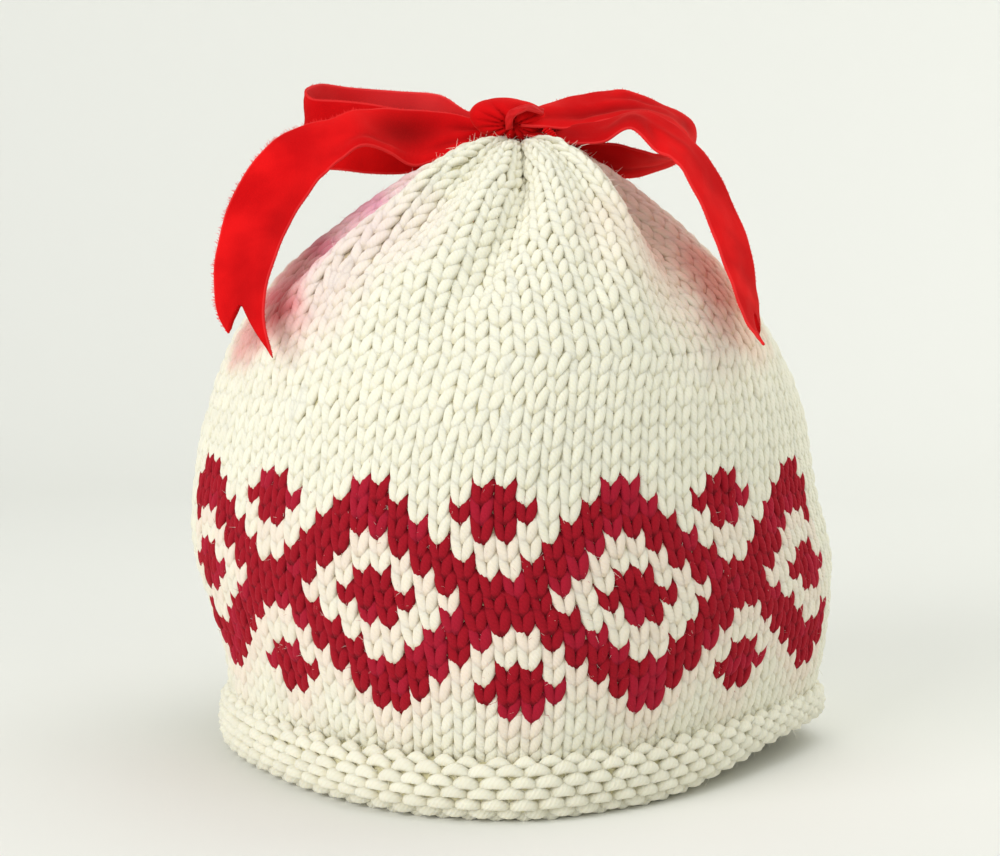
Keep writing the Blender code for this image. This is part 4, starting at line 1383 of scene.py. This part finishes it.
# %% [markdown]
# ## The knot
#
# The ribbon passes once over the middle and is pulled tight, so the knot is a plump crossing of
# cloth whose folds fan from a pinch at its lower front. A curl of the satin side crosses it, and
# the ribbon's end shows below it as a tight ribbed roll.
# %% Knot
KNOT_HALF, KNOT_AT = np.array((10.9, 9.0, 6.2)), np.array((-3.0, 1.0, 171.5))
KNOT_FOLDS, KNOT_FOLD_DEPTH = 6.5, 0.17
KNOT_PINCH = (-0.08, 0.30)
DENT_DEPTH, DENT_WIDE = 0.22, 0.22
# How much painted shade the fold valleys and the dent get, and the most of it
SHADE_IN_VALLEYS, SHADE_IN_DENT, SHADE_MOST = 0.75, 3.0, 0.9
levels, rounds = 84, 108
t, a = np.meshgrid(np.pi * np.arange(1, levels) / levels, 2 * np.pi * np.arange(rounds) / rounds,
                   indexing="ij")
x, y, z = np.cos(t), np.sin(t) * np.cos(a), np.sin(t) * np.sin(a)
fan = np.arctan2(z + KNOT_PINCH[1], x + KNOT_PINCH[0])
from_pinch = np.hypot(z + KNOT_PINCH[1], x + KNOT_PINCH[0])
valley = (1 - np.abs(np.sin(KNOT_FOLDS * fan + 0.8 * np.sin(2 * fan))) ** 0.6) * np.sin(t)
valley = valley * np.exp(-((from_pinch - 0.45) / 0.65) ** 2)
dent = DENT_DEPTH * np.exp(-((from_pinch / DENT_WIDE) ** 2)) * (y < 0)
fold = 1 - KNOT_FOLD_DEPTH * valley - dent
shape = np.stack([KNOT_HALF[0] * x * (1 + 0.1 * z), KNOT_HALF[1] * y * fold,
                  KNOT_HALF[2] * z * fold - 1.0 * x], -1) + KNOT_AT - CENTRE
poles = [KNOT_AT - CENTRE + (KNOT_HALF[0] * s, 0, -1.0 * s) for s in (1, -1)]
faces = grid_faces(levels - 1, rounds)
last = (levels - 2) * rounds
count = (levels - 1) * rounds
faces += [(count, c, (c + 1) % rounds) for c in range(rounds)]
faces += [(count + 1, last + (c + 1) % rounds, last + c) for c in range(rounds)]
knot_uv = np.stack([fan.ravel(), np.full(count, 0.5)], -1)
knot = new_object("ribbon_knot", np.concatenate([shape.reshape(-1, 3), poles]), faces,
                  np.concatenate([knot_uv, [[0, 0.5], [0, 0.5]]]))
knot.data.materials.append(pile_face)
# Painted shade in the valleys of the folds and in the dent at the pinch
knot_painted_shade = np.clip(SHADE_IN_VALLEYS * valley ** 1.5 + SHADE_IN_DENT * dent, 0, SHADE_MOST)
set_painted_shade(knot, np.concatenate([knot_painted_shade.ravel(), [0, 0]]))
print("knot:", triangles(knot), "triangles")

# %% Satin curl across the knot, and the ribbed roll under it
# outer edge X, Y, Z, then inner edge X, Y, Z
CURL = (
    (-4.0, -7.6, 168.6, -2.2, -7.6, 169.2), (-4.2, -9.0, 171.2, -2.2, -9.4, 170.9),
    (-3.4, -8.9, 173.0, -1.4, -9.6, 172.2), (-1.2, -8.0, 174.5, 0.4, -9.4, 173.1),
    (2.0, -6.6, 175.0, 2.8, -8.6, 173.8), (6.0, -4.0, 174.0, 6.0, -6.0, 172.8),
)
BANDS["curl"] = (CURL, 0.0, True)
points, faces, uv, kinds, pressed = band("curl")
curl = new_object("satin_curl", points, faces, uv)
curl.data.materials.append(pile_face)
curl.data.materials.append(satin_back)
curl.data.polygons.foreach_set("material_index", [1] * len(kinds))
# The whole curl gets a little painted shade
set_painted_shade(curl, np.full(len(points), 0.25))

ROLL_TOP, ROLL_FOOT = np.array((6.4, -8.2, 168.9)), np.array((9.7, -8.6, 164.4))
RIBS, RIB_LIES, RIB_FACES, RIB_SIZE = 8, (0.8, -0.1, 0.45), (0.0, -1.0, 0.2), (2.1, 0.75, 1.5)
share = (np.arange(RIBS) + 0.5)[:, None] / RIBS
bow_out = (1, 0, 0.7) * np.sin(np.pi * share) * 0.5
ribs = new_plan()
add(ribs, ROLL_TOP * (1 - share) + ROLL_FOOT * share - CENTRE + bow_out,
    np.tile(unit(np.array(RIB_LIES)), (RIBS, 1)), np.tile(RIB_FACES, (RIBS, 1)),
    np.tile(RIB_SIZE, (RIBS, 1)), np.zeros(RIBS), np.zeros(RIBS))
ribbed_roll = lay("ribbed_roll", joined(ribs), leg_fine, pile_face, 0.05, seed=12)

# %% [markdown]
# ## Floor and light
#
# A pale floor runs up into a pale wall without an edge. The soft light is one large window at
# the left, with three weaker lamps at the right, overhead and behind.
# %% Stage
PAPER = (0.80, 0.80, 0.765)
PAPER_HALF, PAPER_FRONT, BEND_AT, BEND_RADIUS, PAPER_TOP = 2.6, -1.4, 0.5, 0.4, 2.4  # metres
paper, tree, shader = new_material("pale_paper", 0.9, 0.0)
shader.inputs["Base Color"].default_value = (*PAPER, 1)
bend = [(y, 0.0) for y in np.linspace(PAPER_FRONT, BEND_AT, 12)]
bend += [(BEND_AT + BEND_RADIUS * math.sin(t), BEND_RADIUS - BEND_RADIUS * math.cos(t))
         for t in np.linspace(0.1, math.pi / 2, 14)]
bend += [(BEND_AT + BEND_RADIUS, z) for z in np.linspace(0.55, PAPER_TOP, 8)]
paper_points = [(side * PAPER_HALF * 1000, y * 1000, z * 1000) for side in (-1, 1) for y, z in bend]
backdrop = new_object("backdrop", paper_points, grid_faces(2, len(bend), closed=False))
backdrop.data.materials.append(paper)


def lamp(name, at, size, power, colour):
    data = bpy.data.lights.new(name, "AREA")
    data.shape, data.size, data.energy, data.color = "SQUARE", size, power, colour
    obj = bpy.data.objects.new(name, data)
    obj.location = at
    obj.rotation_euler = (Vector((0, 0, 0.09)) - Vector(at)).to_track_quat("-Z", "Y").to_euler()
    bpy.context.scene.collection.objects.link(obj)


# name, where in metres, size, watts, colour
LAMPS = (
    ("window", (-0.95, -0.82, 0.58), 1.0, 12.5, (0.99, 0.99, 0.99)),
    ("fill", (0.9, -0.8, 0.75), 0.9, 2.8, (0.96, 1.0, 0.90)),
    ("top", (0.35, 0.0, 1.2), 0.9, 4.6, (1.0, 1.0, 0.97)),
    ("far_right", (0.85, 0.45, 0.55), 0.8, 2.2, (1.0, 1.0, 0.97)),
)
ROOM, ROOM_LIGHT = (0.97, 1.0, 0.98), 0.46
for row in LAMPS:
    lamp(*row)
world = bpy.data.worlds.new("soft_room")
world.use_nodes = True
world.node_tree.nodes["Background"].inputs[0].default_value = (*ROOM, 1)
world.node_tree.nodes["Background"].inputs[1].default_value = ROOM_LIGHT
bpy.context.scene.world = world
bpy.context.scene.view_settings.view_transform = "Standard"

# %% [markdown]
# ## The pieces in place of the solids
#
# The pieces stand for the two solids and ride on the one body there is.
for shape_ in (leg_fine, leg_plain, purl_bump, hair, tuft):
    bpy.data.objects.remove(shape_, do_unlink=True)
wool_pieces = [front_body, pattern, front_crown, back_body, back_crown, rolled_hem, gap_edges]
wool_pieces += hairs
ribbon_pieces = [knot, curl, ribbed_roll, pile_fringe]
all_pieces = [cosy, ribbon] + ribbon_pieces + wool_pieces
for piece in all_pieces:
    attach(piece, "root")
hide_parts("knitted_cosy")
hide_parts("ribbon_bow")
print("triangles in all:", sum(triangles(piece) for piece in all_pieces))
